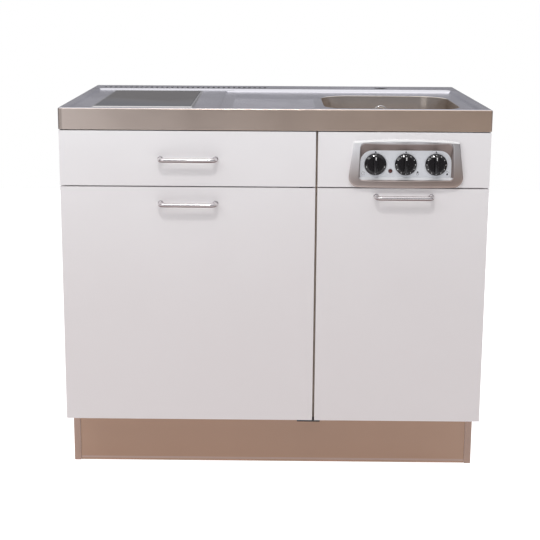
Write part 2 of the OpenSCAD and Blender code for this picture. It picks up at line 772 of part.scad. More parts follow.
module lower_pivot_plate() color("#2b2a2a") at_unit() {
    difference() {
        block([pivot_x - plate_reach, 1, plinth_h - pivot_t],
            [pivot_x + plate_reach, plate_back, plinth_h]);
        for (dx = lower_screws) rod_z(pivot_x + dx, pivot_screw_y, screw_r + 0.1, 0, unit_h);
    }
    rod_z(pivot_x, pivot_y, pin_r, plinth_h - eps, door_foot + pin_l);
}

module upper_pivot_plate() color("#2b2a2a") at_unit() {
    difference() {
        block([pivot_x - plate_reach, 1, under_rail_top],
            [pivot_x + 3, plate_back, under_rail_top + upper_plate_t]);
        for (dx = upper_screws) rod_z(pivot_x + dx, pivot_screw_y, screw_r + 0.1, 0, unit_h);
    }
    rod_z(pivot_x, pivot_y, pin_r, door_top - pin_l, under_rail_top + eps);
}

module pivot_screws() color("gray") at_unit() {
    low_z = plinth_h - pivot_t;
    up_z = under_rail_top + upper_plate_t;
    for (dx = lower_screws) {
        rod_z(pivot_x + dx, pivot_screw_y, screw_head_r, low_z - 2, low_z);
        rod_z(pivot_x + dx, pivot_screw_y, screw_r, low_z - 1, plinth_h);
    }
    for (dx = upper_screws) {
        rod_z(pivot_x + dx, pivot_screw_y, screw_head_r, up_z, up_z + 2);
        rod_z(pivot_x + dx, pivot_screw_y, screw_r, under_rail_top, up_z + 1);
    }
}

// bores of a handle's two screws through a front, with the sunk heads at its back
module handle_bores(x, z) for (s = [-1, 1]) {
    rod_y(x + s * handle_cc / 2, z, screw_r + 0.1, -1, front_t + 1);
    rod_y(x + s * handle_cc / 2, z, screw_head_r + 0.3, front_t - screw_sink, front_t + 1);
}

module left_door() color("white") at_unit() difference() {
    block([end_gap, 0, door_foot], [front_split_l, front_t, door_top]);
    handle_bores(drawer_handle_x, left_handle_z);
    rod_z(pivot_x, pivot_y, pin_r + bush_wall, door_foot - 1, door_foot + pin_l + 1);
    rod_z(pivot_x, pivot_y, pin_r + bush_wall, door_top - pin_l - 1, door_top + 1);
}

module pivot_bushes() color("ivory") at_unit() for (z = [door_foot, door_top - pin_l - 1]) difference() {
    rod_z(pivot_x, pivot_y, pin_r + bush_wall - 0.02, z, z + pin_l + 1);
    rod_z(pivot_x, pivot_y, pin_r + run_gap, z - 1, z + pin_l + 2);
}

module fridge_door() color("white") at_unit() difference() {
    block([fridge_x, front_t, fridge_door_z],
        [fridge_x + fridge_w, front_t + fridge_door_t, fridge_top]);
    block([cave_x0 + 20, front_t + fridge_door_t - rack_in, cave_z + 20],
        [cave_x1 - 20, fridge_front, cave_top - 20]);
}

module door_gasket() color("gainsboro") at_unit() difference() {
    block([fridge_x + gasket_in, front_t + fridge_door_t, fridge_door_z + gasket_in],
        [fridge_x + fridge_w - gasket_in, fridge_front - seat, fridge_top - gasket_in]);
    block([fridge_x + gasket_in + gasket_w, 0, fridge_door_z + gasket_in + gasket_w],
        [fridge_x + fridge_w - gasket_in - gasket_w, unit_d, fridge_top - gasket_in - gasket_w]);
}

// open bin on the inside of the insulated door
module door_rack() color("aliceblue") at_unit() {
    lo = [cave_x0 + 24, front_t + fridge_door_t - rack_in, cave_z + 30];
    hi = [cave_x1 - 24, lo[1] + rack_l, lo[2] + rack_h];
    difference() {
        block(lo, hi);
        block([lo[0] + rack_t, lo[1] + rack_t, lo[2] + rack_t],
            [hi[0] - rack_t, hi[1] - rack_t, hi[2] + 1]);
    }
}

// bent bar handle with its two feet on the front's face
module handle(x, z) color("#9a9094") difference() {
    union() {
        bar_y = -handle_proud + handle_r;
        for (s = [-1, 1]) translate([x + s * handle_cc / 2, 0, z]) {
            rod_y(0, 0, handle_r, bar_y + handle_bend, 0);
            rod_y(0, 0, foot_r, -foot_t, 0);
            translate([-s * handle_bend, bar_y + handle_bend, 0]) rotate([0, 0, s > 0 ? -90 : 180])
                rotate_extrude(angle = 90, $fn = round_fn) translate([handle_bend, 0])
                    circle(handle_r, $fn = round_fn);
        }
        translate([x - handle_cc / 2 + handle_bend, bar_y, z]) rotate([0, 90, 0])
            cylinder(r = handle_r, h = handle_cc - 2 * handle_bend, $fn = round_fn);
    }
    for (s = [-1, 1]) rod_y(x + s * handle_cc / 2, z, screw_r + run_gap, -10, 1);
}

// two countersunk screws from the back of a front into the handle's legs
module handle_screws(x, z) color("gray") for (s = [-1, 1]) {
    rod_y(x + s * handle_cc / 2, z, screw_r, -9, front_t - 1);
    rod_y(x + s * handle_cc / 2, z, screw_head_r, front_t - screw_sink, front_t - 0.2);
}

module left_door_handle() at_unit() handle(drawer_handle_x, left_handle_z);
module left_handle_screws() at_unit() handle_screws(drawer_handle_x, left_handle_z);
module right_door_handle() at_unit() handle(right_handle_x, right_handle_z);
module right_handle_screws() at_unit() handle_screws(right_handle_x, right_handle_z);
module drawer_handle() at_unit() handle(drawer_handle_x, drawer_handle_z);
module drawer_handle_screws() at_unit() handle_screws(drawer_handle_x, drawer_handle_z);

module right_door() color("white") at_unit() difference() {
    block([front_split_r, 0, door_foot], [unit_w - end_gap, front_t, door_top]);
    handle_bores(right_handle_x, right_handle_z);
    for (z = hinge_zs) rod_y(cup_x, z, cup_r, front_t - cup_depth, front_t + 1);
}

// steel cup sunk in the door, with the pin that the arm turns on
module hinge_cups() color("silver") at_unit() for (z = hinge_zs) {
    difference() {
        rod_y(cup_x, z, cup_r - 0.02, front_t - cup_depth, front_t);
        rod_y(cup_x, z, cup_r - cup_wall, front_t - cup_depth + cup_wall, front_t + 1);
    }
    intersection() {
        rod_z(hinge_x, hinge_y, hinge_pin_r, z - cup_r, z + cup_r);
        rod_y(cup_x, z, cup_r - 0.5, 0, front_t);
    }
}

// arm that bends round the panel's edge into the cup, and its plate on the side panel
module hinge_arms() color("silver") at_unit() for (z = hinge_zs) difference() {
    union() {
        rod_z(hinge_x, hinge_y, knuckle_r, z - arm_w / 2, z + arm_w / 2);
        block([hinge_x - arm_in, hinge_y - arm_t / 2, z - arm_w / 2],
            [hinge_x, hinge_y + arm_t / 2, z + arm_w / 2]);
        block([hinge_x - arm_in, hinge_y - arm_t / 2, z - arm_w / 2],
            [hinge_x - arm_in + arm_t, carcass_y + arm_foot[1], z + arm_w / 2]);
        block([hinge_x - arm_in, carcass_y + arm_foot[0], z - arm_foot_h / 2],
            [right_in, carcass_y + arm_foot[1], z + arm_foot_h / 2]);
    }
    rod_z(hinge_x, hinge_y, hinge_pin_r + run_gap, z - arm_w, z + arm_w);
}

module drawer_front() color("white") at_unit() difference() {
    block([end_gap, 0, row_z], [front_split_l, front_t, front_top]);
    handle_bores(drawer_handle_x, drawer_handle_z);
}

module drawer_sides() color("whitesmoke") at_unit() for (x = [drawer_x0, drawer_x1 - drawer_side_t])
    block([x, front_t, drawer_z], [x + drawer_side_t, drawer_y1, drawer_z + drawer_h]);

module drawer_back() color("whitesmoke") at_unit()
    block([drawer_x0 + drawer_side_t, drawer_y1 - drawer_side_t, drawer_z],
        [drawer_x1 - drawer_side_t, drawer_y1, drawer_z + drawer_h]);

module drawer_bottom() color("white") at_unit()
    block([drawer_x0 + drawer_side_t, front_t, drawer_z + bottom_lift],
        [drawer_x1 - drawer_side_t, drawer_y1 - drawer_side_t, drawer_z + bottom_lift + thin_t]);

// channel of sheet metal along y: web at x0, flanges towards x1
module channel(x0, x1, y0, y1, h) {
    web = x1 > x0 ? [x0, x0 + rail_t] : [x0 - rail_t, x0];
    block([web[0], y0, slide_mid - h / 2], [web[1], y1, slide_mid + h / 2]);
    for (z = [slide_mid - h / 2, slide_mid + h / 2 - rail_t])
        block([min(x0, x1), y0, z], [max(x0, x1), y1, z + rail_t]);
}

// inner members on the drawer, nested in the runners on the cabinet
module drawer_slides() color("silver") at_unit() {
    inner_h = slide_h - 2 * (rail_t + seat);
    channel(drawer_x0, left_in + rail_t + seat, carcass_y + 4, drawer_y1, inner_h);
    channel(drawer_x1, mid_l - rail_t - seat, carcass_y + 4, drawer_y1, inner_h);
}

module cabinet_runners() color("silver") at_unit() {
    channel(left_in, drawer_x0 - rail_t - seat, carcass_y + 2, drawer_y1 + 2, slide_h);
    channel(mid_l, drawer_x1 + rail_t + seat, carcass_y + 2, drawer_y1 + 2, slide_h);
}

worktop();
sink_bowl();
overflow_rose();
overflow_pipe();
sink_strainer();
waste_trap();
waste_pipe();
hob_frame();
hob_glass();
hob_pan();
rear_heater();
front_heater();
left_side_panel();
right_side_panel();
centre_panel();
left_floor();
right_floor();
rail_under_drawer();
left_top_rail();
right_top_rail();
back_rails();
back_panel();
plinth_board();
fascia();
control_bezel();
control_plate();
lamp_lens();
timer_body();
zone_switches();
timer_knob();
rear_zone_knob();
front_zone_knob();
fridge_case();
fridge_liner();
fridge_shelves();
compressor();
condenser();
lower_pivot_plate();
upper_pivot_plate();
pivot_screws();
left_door();
pivot_bushes();
fridge_door();
door_gasket();
door_rack();
left_door_handle();
left_handle_screws();
right_door();
hinge_cups();
hinge_arms();
right_door_handle();
right_handle_screws();
drawer_front();
drawer_sides();
drawer_back();
drawer_bottom();
drawer_handle();
drawer_handle_screws();
drawer_slides();
cabinet_runners();
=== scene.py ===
import json
import math
import bmesh
import bpy
import numpy as np
from mathutils import Matrix, Vector
from mathutils.geometry import delaunay_2d_cdt


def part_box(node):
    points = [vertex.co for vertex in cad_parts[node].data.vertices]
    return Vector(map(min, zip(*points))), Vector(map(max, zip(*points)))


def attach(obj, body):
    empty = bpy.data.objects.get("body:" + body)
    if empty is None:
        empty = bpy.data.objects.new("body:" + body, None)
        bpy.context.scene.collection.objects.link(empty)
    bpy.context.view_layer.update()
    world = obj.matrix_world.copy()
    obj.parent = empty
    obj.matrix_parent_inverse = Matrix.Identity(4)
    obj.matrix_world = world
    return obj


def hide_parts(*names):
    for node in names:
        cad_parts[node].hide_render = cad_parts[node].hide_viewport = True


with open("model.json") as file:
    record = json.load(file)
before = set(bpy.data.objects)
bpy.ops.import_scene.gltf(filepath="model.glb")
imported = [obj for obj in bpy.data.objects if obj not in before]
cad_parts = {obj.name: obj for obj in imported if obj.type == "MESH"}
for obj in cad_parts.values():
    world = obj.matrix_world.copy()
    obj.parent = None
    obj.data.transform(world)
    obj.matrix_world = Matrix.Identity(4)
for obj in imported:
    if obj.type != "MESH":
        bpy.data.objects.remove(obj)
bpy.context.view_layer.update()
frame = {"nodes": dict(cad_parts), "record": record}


# shader wiring

class Wire:
    # a socket that arithmetic can be written on: every operator adds its own Math node
    def __init__(self, graph, socket):
        self.graph, self.socket = graph, socket

    def join(self, operation, *terms):
        # a Math node with the terms on its sockets, in their order
        return self.graph.add("ShaderNodeMath", {"operation": operation}, dict(enumerate(terms)))

    def __add__(self, other):
        return self.join("ADD", self, other)

    def __radd__(self, other):
        return self.join("ADD", other, self)

    def __sub__(self, other):
        return self.join("SUBTRACT", self, other)

    def __rsub__(self, other):
        return self.join("SUBTRACT", other, self)

    def __mul__(self, other):
        return self.join("MULTIPLY", self, other)

    def __rmul__(self, other):
        return self.join("MULTIPLY", other, self)

    def __truediv__(self, other):
        return self.join("DIVIDE", self, other)

    def __rtruediv__(self, other):
        return self.join("DIVIDE", other, self)

    def __abs__(self):
        return self.join("ABSOLUTE", self)

    def within(self):
        # the value held between 0 and 1
        return self.join("MINIMUM", self.join("MAXIMUM", self, 0), 1)

    def above(self, edge, steep):
        # share from 0 to 1 that starts at the edge and climbs by steep for each metre over it
        return ((self - edge) * steep).within()

    def below(self, edge, steep):
        # share from 0 to 1 that starts at the edge and climbs by steep for each metre under it
        return ((edge - self) * steep).within()


class Finish:
    # one material, or the world's shading: add() makes any node, surface() feeds the shader
    def __init__(self, name, owner=None):
        self.material = owner or bpy.data.materials.new(name)
        self.material.use_nodes = True
        self.tree = self.material.node_tree
        self.shader = self.tree.nodes.get("Principled BSDF") or self.tree.nodes.get("Background")

    def feed(self, socket, value):
        # a wire is linked to the socket, and a plain value is written on it
        if isinstance(value, Wire):
            self.tree.links.new(value.socket, socket)
        else:
            socket.default_value = value

    def add(self, kind, settings, inputs, output=0):
        # any node: first its settings, a ramp's stops among them, then its sockets' values or links
        made = self.tree.nodes.new(kind)
        for key, value in settings.items():
            if key == "stops":
                ramp = made.color_ramp.elements
                while len(ramp) < len(value):
                    ramp.new(0.5)
                for element, (place, colour) in zip(ramp, value):
                    element.position, element.color = place, colour
            else:
                setattr(made, key, value)
        for key, value in inputs.items():
            self.feed(made.inputs[key], value)
        return Wire(self, made.outputs[output])

    def axes(self):
        # object coordinates one by one
        at = self.add("ShaderNodeTexCoord", {}, {}, "Object")
        return [self.add("ShaderNodeSeparateXYZ", {}, {0: at}, i) for i in range(3)]

    def noise(self, scale, stretch=(1, 1, 1), detail=3, rough=0.5):
        # noise between 0 and 1, drawn out along the axes whose stretch is small
        at = self.add("ShaderNodeTexCoord", {}, {}, "Object")
        drawn = self.add("ShaderNodeVectorMath", {"operation": "MULTIPLY"}, {0: at, 1: stretch})
        return self.add("ShaderNodeTexNoise", {}, {"Vector": drawn, "Scale": scale, "Detail": detail,
                                                   "Roughness": rough})

    def mix(self, share, first, second):
        # colour that goes from the first to the second as the share goes from 0 to 1
        return self.add("ShaderNodeMix", {"data_type": "RGBA"}, {"Factor": share, 6: first, 7: second}, 2)

    def bump(self, height, strength, distance):
        # normal tilted by the slope of a height
        return self.add("ShaderNodeBump", {}, {"Height": height, "Strength": strength,
                                               "Distance": distance})

    def surface(self, **sockets):
        # feeds the shader, with _ for the blanks in its sockets' names
        for key, value in sockets.items():
            self.feed(self.shader.inputs[key.replace("_", " ")], value)
        return self.material


def tone(red, green, blue):
    # opaque colour from its linear shares
    return (red, green, blue, 1)


def brushed(name, colour, dark, rough, grain=1.0, along=(0.05, 1, 1), metal=1.0):
    # satin metal: noise drawn out along one direction changes the gloss and lifts fine hair lines
    steel = Finish(name)
    hair = steel.noise(900, along, 4, 0.6)
    cloud = steel.noise(5, detail=2)
    shade = steel.mix(cloud * 0.5 + hair * 0.25, dark, colour)
    gloss = rough + (hair - 0.5) * 0.10 + (cloud - 0.5) * 0.08
    return steel.surface(Base_Color=shade, Metallic=metal, Roughness=gloss,
                         Normal=steel.bump(hair, 0.06 * grain, 0.0004))


# painted dark reflection on the bars' undersides: where it starts, how fast it grows as the surface turns
# down, and its colour
barShade = {"start": 0.05, "fall": 1.6, "under": tone(0.16, 0.085, 0.08)}


def handleSteel():
    # satin bar with a painted dark reflection, brown where its surface turns down: the share falls with the
    # normal's upward part
    steel = Finish("handleSteel")
    hair = steel.noise(900, (0.08, 1, 1), 4, 0.6)
    facingUp = steel.add("ShaderNodeTexCoord", {}, {}, "Normal")
    tilt = steel.add("ShaderNodeSeparateXYZ", {}, {0: facingUp}, 2)
    # painted dark reflection on the faces that turn down
    under = (barShade["start"] - tilt * barShade["fall"]).within()
    bright = steel.mix(hair, tone(0.72, 0.69, 0.70), tone(0.80, 0.77, 0.78))
    return steel.surface(Base_Color=steel.mix(under, bright, barShade["under"]), Metallic=1,
                         Roughness=0.20 + (hair - 0.5) * 0.10 + under * 0.2,
                         Normal=steel.bump(hair, 0.03, 0.0004))


def painted(name, colour, dark, rough, peel=0.03, scale=120):
    # lacquer, melamine or plastic: faint clouding and a slightly uneven skin
    coat = Finish(name)
    cloud = coat.noise(3, detail=2)
    skin = coat.noise(scale, detail=2)
    return coat.surface(Base_Color=coat.mix(cloud, dark, colour), Roughness=rough + (cloud - 0.5) * 0.06,
                        Normal=coat.bump(skin, peel, 0.0003))


def glassy(name, colour, rough, coat):
    # glass or gloss plastic: a clear coat over one colour, its gloss smeared a little by noise
    pane = Finish(name)
    smear = pane.noise(14, detail=4)
    return pane.surface(Base_Color=colour, Roughness=rough + (smear - 0.5) * 0.06, Coat_Weight=coat,
                        Coat_Roughness=0.03)


# painted light on the fronts: lighter towards the top, greyer and pinker towards the foot
frontPaintedLight = {"foot": 0.15, "rise": 0.70,     # height of the fronts' foot, and from there to their top
              "low": tone(0.755, 0.705, 0.705), "high": tone(0.95, 0.935, 0.945)}


def frontMelamine():
    # laminate of the fronts with painted light, lighter towards the top and greyer and pinker towards the
    # foot: the share is the height squared
    coat = Finish("whiteMelamine")
    height = coat.axes()[2]
    cloud = coat.noise(3, detail=2)
    skin = coat.noise(120, detail=2)
    # painted light: the share grows with height
    up = ((height - frontPaintedLight["foot"]) / frontPaintedLight["rise"] + (cloud - 0.5) * 0.3).within()
    return coat.surface(Base_Color=coat.mix(up * up * 0.9, frontPaintedLight["low"], frontPaintedLight["high"]),
                        Roughness=0.5 + (cloud - 0.5) * 0.06, Normal=coat.bump(skin, 0.03, 0.0003))


plinthLip = {"low": 0.004, "high": 0.011, "colour": tone(0.55, 0.42, 0.38)}    # heights over the floor


def plinthLaminate():
    # warm metal-look laminate with a paler lip near the floor
    coat = Finish("plinthLaminate")
    height = coat.axes()[2]
    cloud = coat.noise(3, detail=2)
    hair = coat.noise(500, (0.04, 1, 1), 3)
    colour = coat.mix(cloud, tone(0.47, 0.29, 0.205), tone(0.51, 0.33, 0.24))
    lip = height.above(plinthLip["low"], 400) * height.below(plinthLip["high"], 400)
    shade = coat.mix(lip * 0.8, colour, plinthLip["colour"])
    return coat.surface(Base_Color=shade, Roughness=0.30 + (cloud - 0.5) * 0.06 + (hair - 0.5) * 0.06,
                        Normal=coat.bump(hair, 0.03, 0.0003))


boardShade = {
    "footTop": 0.1443, "footFace": -0.1964, "foot": tone(0.47, 0.32, 0.26),   # feet of the side panels
    "edge": -0.2610, "seam": tone(0.80, 0.66, 0.54), "margin": 0.001,         # front edge between the doors
    "apronShadeFrom": 0.8465, "dark": tone(0.05, 0.035, 0.03),                         # shade under the apron
}
splitLow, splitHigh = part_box("centre_panel")


def carcassMelamine():
    # white boards, with warmer front edges on the side panels' feet and the centre panel, and painted shade
    # on the front edges under the apron
    coat = Finish("carcassMelamine")
    x, y, z = coat.axes()
    cloud = coat.noise(3, detail=2)
    skin = coat.noise(120, detail=2)
    board = coat.mix(cloud, tone(0.77, 0.755, 0.74), tone(0.80, 0.79, 0.77))
    foot = z.below(boardShade["footTop"], 3000) * y.below(boardShade["footFace"], 4000)
    edge, margin = y.below(boardShade["edge"], 4000), boardShade["margin"]
    seam = x.above(splitLow.x - margin, 4000) * x.below(splitHigh.x + margin, 4000)
    board = coat.mix(edge * seam, board, boardShade["seam"])
    # painted shade on the boards' front edges under the apron
    board = coat.mix(edge * z.above(boardShade["apronShadeFrom"], 4000), board, boardShade["dark"])
    return coat.surface(Base_Color=coat.mix(foot, board, boardShade["foot"]),
                        Roughness=0.45 + (cloud - 0.5) * 0.06, Normal=coat.bump(skin, 0.03, 0.0003))


topLow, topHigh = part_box("worktop")
steelShade = {
    "apron": 0.0018,                             # depth behind the faces that takes the apron's painted reflection
    "fold": 0.0105,                              # width of the painted shade at the apron's left fold
    "slopeFront": 0.482, "slopeBack": 0.504,     # painted shade on the rear slope, from the worktop's front edge
    # painted shade in the vents' walls: their span from the front edge, their end and the depth under the top
    "ventFront": 0.524, "ventBack": 0.558, "ventEnd": 0.495, "ventDepth": 0.0002,
}


def pressedSteel():
    # steel that is cool on the top, with a painted reflection that makes the apron warm and browner to the
    # right, and painted shade on the apron's left fold, the rear slope and the vents' walls
    steel = Finish("worktopSteel")
    x, y, z = steel.axes()
    hair = steel.noise(900, (0.05, 1, 1), 4, 0.6)
    cloud = steel.noise(7, detail=3)
    shade = cloud * 0.6 + hair * 0.2
    top = steel.mix(shade, tone(0.53, 0.52, 0.57), tone(0.64, 0.63, 0.68))
    # painted reflection of the floor on the apron, browner to the right
    left = steel.mix(shade, tone(0.60, 0.52, 0.48), tone(0.78, 0.69, 0.64))
    right = steel.mix(shade, tone(0.60, 0.45, 0.35), tone(0.78, 0.60, 0.48))
    front = y.below(topLow.y + steelShade["apron"], 900)
    fold = x.below(topLow.x + steelShade["fold"], 500)
    sides = abs(x).above(topHigh.x - steelShade["apron"], 900)
    apron = (front + sides).within()
    colour = steel.mix(apron, top, steel.mix((x + 0.5).within(), left, right))
    # painted shade at the apron's left fold
    colour = steel.mix(fold * front * 0.5, colour, tone(0.28, 0.24, 0.22))
    back = y - topLow.y
    # painted shade on the rear slope
    slope = back.above(steelShade["slopeFront"], 300) * back.below(steelShade["slopeBack"], 600)
    colour = steel.mix(slope * 0.38, colour, tone(0.20, 0.20, 0.21))
    # painted shade in the vents' walls
    inVents = back.above(steelShade["ventFront"], 2000) * back.below(steelShade["ventBack"], 2000)
    inVents = inVents * z.below(topHigh.z - steelShade["ventDepth"], 9000)
    inVents = inVents * abs(x).below(steelShade["ventEnd"], 2000)
    gloss = 0.24 + apron * 0.10 + (hair - 0.5) * 0.10 + (cloud - 0.5) * 0.10
    return steel.surface(Base_Color=steel.mix(inVents, colour, tone(0.02, 0.02, 0.02)), Metallic=1,
                         Roughness=gloss, Normal=steel.bump(hair, 0.05, 0.0004))


bezelShade = {
    "sideRim": 0.0212, "mouth": 0.0040, "topGap": 0.0002,    # where the funnel starts, from the CAD box
    "lowWall": 0.0245, "foot": 0.016,                        # painted highlight on the funnel's low wall over its foot, and painted shade that grows from under its top
    "arch": 0.0015, "archFall": 0.37,                        # painted highlight band: its rise, its fall to the ends
}


def silverPaint():
    # silver lacquer with painted light: painted highlights above, to the left, on the top band and on the
    # funnel's low wall, and painted shade below, to the right and where the funnel goes back
    coat = Finish("bezelSilver")
    x, y, z = coat.axes()
    faceLow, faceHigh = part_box("control_bezel")
    grain = coat.noise(1400, detail=2)
    middle = (faceLow.x + faceHigh.x) / 2
    opening = abs(x - middle).below(faceHigh.x - middle - bezelShade["sideRim"], 400)
    inside = y.above(faceLow.y + bezelShade["mouth"], 260) * opening
    inside = inside * z.below(faceHigh.z - bezelShade["topGap"], 600)
    lowWall = z.below(faceLow.z + bezelShade["lowWall"], 700)
    # painted shade that grows towards the foot
    foot = z.below(faceHigh.z - bezelShade["foot"], 13)
    arch = (faceHigh.z + bezelShade["arch"]) - ((x - middle) * (x - middle)) * bezelShade["archFall"]
    # painted highlight on the top band
    band = z.above(arch, 900)
    # painted shade towards the right
    right = ((x - middle) * 4 + 0.5).within()
    upper = coat.mix(right, tone(0.97, 0.97, 1.0), tone(0.56, 0.54, 0.55))
    lower = coat.mix(right, tone(0.46, 0.39, 0.37), tone(0.38, 0.295, 0.26))
    face = coat.mix(band, coat.mix(foot, upper, lower), tone(1, 1, 1))
    # painted highlight: less metallic and so paler at the upper left
    pale = (1 - right) * (1 - foot) * (1 - band)
    # painted shade in the funnel, and a painted highlight on its low wall
    funnel = coat.mix(lowWall, tone(0.27, 0.215, 0.20), tone(0.92, 0.92, 0.93))
    return coat.surface(Base_Color=coat.mix(inside, face, funnel),
                        Metallic=0.8 - inside * 0.2 - band * 0.8 - lowWall * inside * 0.4 - pale * 0.35,
                        Roughness=0.30 + inside * 0.10 + (grain - 0.5) * 0.08,
                        Normal=coat.bump(grain, 0.03, 0.0002))


finishes = {
    "worktop_steel": pressedSteel(),
    "bowl_steel": brushed("bowlSteel", tone(0.82, 0.75, 0.68), tone(0.65, 0.58, 0.52), 0.20, 0.6,
                          (0.4, 0.4, 1)),
    "chrome": brushed("roseChrome", tone(0.86, 0.86, 0.87), tone(0.80, 0.80, 0.82), 0.07, 0.1),
    "hob_glass": glassy("hobGlass", tone(0.035, 0.034, 0.036), 0.12, 0.6),
    "hob_steel": brushed("hobFrameSteel", tone(0.66, 0.65, 0.65), tone(0.55, 0.54, 0.54), 0.24),
    "sheet_metal": brushed("zincedSheet", tone(0.56, 0.57, 0.58), tone(0.45, 0.46, 0.47), 0.42, 0.5,
                           (1, 1, 1)),
    "heater_fibre": painted("heaterFibre", tone(0.74, 0.66, 0.54), tone(0.60, 0.52, 0.42), 0.9, 0.3),
    "white_front": frontMelamine(),
    "carcass_board": carcassMelamine(),
    "plinth_finish": plinthLaminate(),
    "silver_trim": silverPaint(),
    "panel_silver": brushed("panelSilver", tone(0.88, 0.90, 0.94), tone(0.83, 0.85, 0.89), 0.36, 0.3,
                            metal=0.25),
    "black_plastic": glassy("knobBlack", tone(0.006, 0.005, 0.007), 0.12, 0.4),
    "dark_plastic": painted("switchBlack", tone(0.05, 0.05, 0.055), tone(0.03, 0.03, 0.035), 0.5),
    "lamp_red": glassy("lampRed", tone(0.085, 0.008, 0.006), 0.14, 0.8),
    "handle_steel": handleSteel(),
    "zinc": brushed("zincPlate", tone(0.62, 0.63, 0.64), tone(0.50, 0.51, 0.52), 0.35, 0.4, (1, 1, 1)),
    "white_plastic": painted("whitePlastic", tone(0.80, 0.80, 0.79), tone(0.76, 0.76, 0.75), 0.35),
    "fridge_paint": painted("caseEnamel", tone(0.72, 0.73, 0.74), tone(0.68, 0.69, 0.70), 0.3),
    "shelf_glass": glassy("shelfGlass", tone(0.72, 0.82, 0.80), 0.05, 0.8),
    "gasket": painted("gasketRubber", tone(0.66, 0.66, 0.66), tone(0.60, 0.60, 0.60), 0.7),
    "black_metal": painted("blackEnamel", tone(0.02, 0.02, 0.022), tone(0.014, 0.014, 0.015), 0.35),
}

slotOfNode = {entry["node"]: entry["material_slot"] for entry in frame["record"]["subparts"]}
bodyOfNode = {node: body for body, nodes in frame["record"]["behaviour"]["bodies"].items()
              for node in nodes}
for nodeName, cadObject in frame["nodes"].items():
    cadObject.data.materials.clear()
    cadObject.data.materials.append(finishes[slotOfNode[nodeName]])
print("finishes: %d materials" % len(finishes))


# surfaces from arrays

speck = 1e-5     # stands for a radius of nothing, which would fold the mesh


def roundLoop(low, high, radius, perCorner=12):
    # rounded rectangle: four quarter circles about the corner centres, counterclockwise
    low, high = np.asarray(low, float), np.asarray(high, float)
    turn = (np.arange(4)[:, None] + np.linspace(0, 1, perCorner)).ravel() * math.pi / 2
    corners = np.array([[high[0], high[1]], [low[0], high[1]], [low[0], low[1]], [high[0], low[1]]])
    inward = np.array([[-1, -1], [1, -1], [1, 1], [-1, 1]]) * radius
    middle = np.repeat(corners + inward, perCorner, axis=0)
    return middle + radius * np.stack([np.cos(turn), np.sin(turn)], 1)


def circleLoop(centre, radius, around):
    # circle: radius times cosine and sine of the turn
    turn = np.arange(around) / around * 2 * math.pi
    return np.asarray(centre) + radius * np.stack([np.cos(turn), np.sin(turn)], 1)


def hullLoop(circles, perArc=8, perEdge=6):
    # outline round circles (across, up, radius), counterclockwise: arcs joined by their tangents
    circles = np.array(circles, float)
    ahead = np.roll(circles, -1, axis=0)
    run = (ahead - circles)[:, :2]
    spread = (ahead - circles)[:, 2] / np.linalg.norm(run, axis=1)
    leave = np.arctan2(run[:, 1], run[:, 0]) - math.pi / 2 - np.arcsin(spread)
    sweep = (leave - np.roll(leave, 1)) % (2 * math.pi)
    turn = leave[:, None] - sweep[:, None] * np.linspace(1, 0, perArc)
    arcs = circles[:, None, :2] + circles[:, None, 2:] * np.stack([np.cos(turn), np.sin(turn)], -1)
    stop = np.roll(arcs, -1, axis=0)[:, :1]
    along = np.linspace(0, 1, perEdge + 2)[None, 1:-1, None]
    edges = arcs[:, -1:] + (stop - arcs[:, -1:]) * along
    return np.concatenate([arcs, edges], 1).reshape(-1, 2)


def lathe(profile, centre, around=64):
    # profile of (radius, outward) turned about an axis through the centre, as rings
    turn = np.arange(around) / around * 2 * math.pi
    radius, out = np.array(profile, float).T
    rings = np.empty((len(radius), around, 3))
    rings[..., 0] = centre[0] + radius[:, None] * np.cos(turn)
    rings[..., 1] = centre[1] + radius[:, None] * np.sin(turn)
    rings[..., 2] = centre[2] + out[:, None]
    return rings


def arcOf(centre, radius, start, stop, steps=5):
    # arc of a profile, angles in degrees
    turn = np.radians(np.linspace(start, stop, steps))
    return np.stack([centre[0] + radius * np.cos(turn), centre[1] + radius * np.sin(turn)], 1).tolist()


def quarter(radius, steps):
    # quarter circle from upright to level, as (inset, rise)
    turn = np.linspace(0, math.pi / 2, steps)
    return np.stack([radius * (1 - np.cos(turn)), radius * np.sin(turn)], 1)


def atHeight(loop, height):
    # flat loop given its height, one number or one for each point
    return np.column_stack([loop, np.broadcast_to(height, len(loop))])


def facing(points):
    # (across, up, outward) to the row frame for a shape on the fronts: outward is -Y
    points = np.asarray(points, float)
    return np.stack([points[..., 0], -points[..., 2], points[..., 1]], -1)


def ringFaces(count, around, closeFirst, closeLast):
    # quads between each ring and the next, and a polygon over the first and the last ring
    index = np.arange(count * around).reshape(count, around)
    beside = np.roll(index, -1, axis=1)
    faces = np.stack([index[:-1], beside[:-1], beside[1:], index[1:]], -1).reshape(-1, 4).tolist()
    if closeFirst:
        faces.append(index[0][::-1].tolist())
    if closeLast:
        faces.append(index[-1].tolist())
    return faces


def merged(mesh, reach, flat=0.0):
    # points nearer than the reach become one, and so do faces that meet flatter than the angle
    tidy = bmesh.new()
    tidy.from_mesh(mesh)
    bmesh.ops.remove_doubles(tidy, verts=tidy.verts, dist=reach)
    if flat:
        bmesh.ops.dissolve_limit(tidy, angle_limit=flat, verts=tidy.verts, edges=tidy.edges)
    tidy.to_mesh(mesh)
    tidy.free()
    return mesh


def meshFrom(name, parts):
    # several (points, faces) joined in one mesh, with the points that meet merged
    points, faces, start = [], [], 0
    for partPoints, partFaces in parts:
        points.append(np.asarray(partPoints, float).reshape(-1, 3))
        faces += [[start + i for i in face] for face in partFaces]
        start += len(points[-1])
    mesh = bpy.data.meshes.new(name)
    mesh.from_pydata(np.concatenate(points).tolist(), [], faces)
    return merged(mesh, 2e-6)


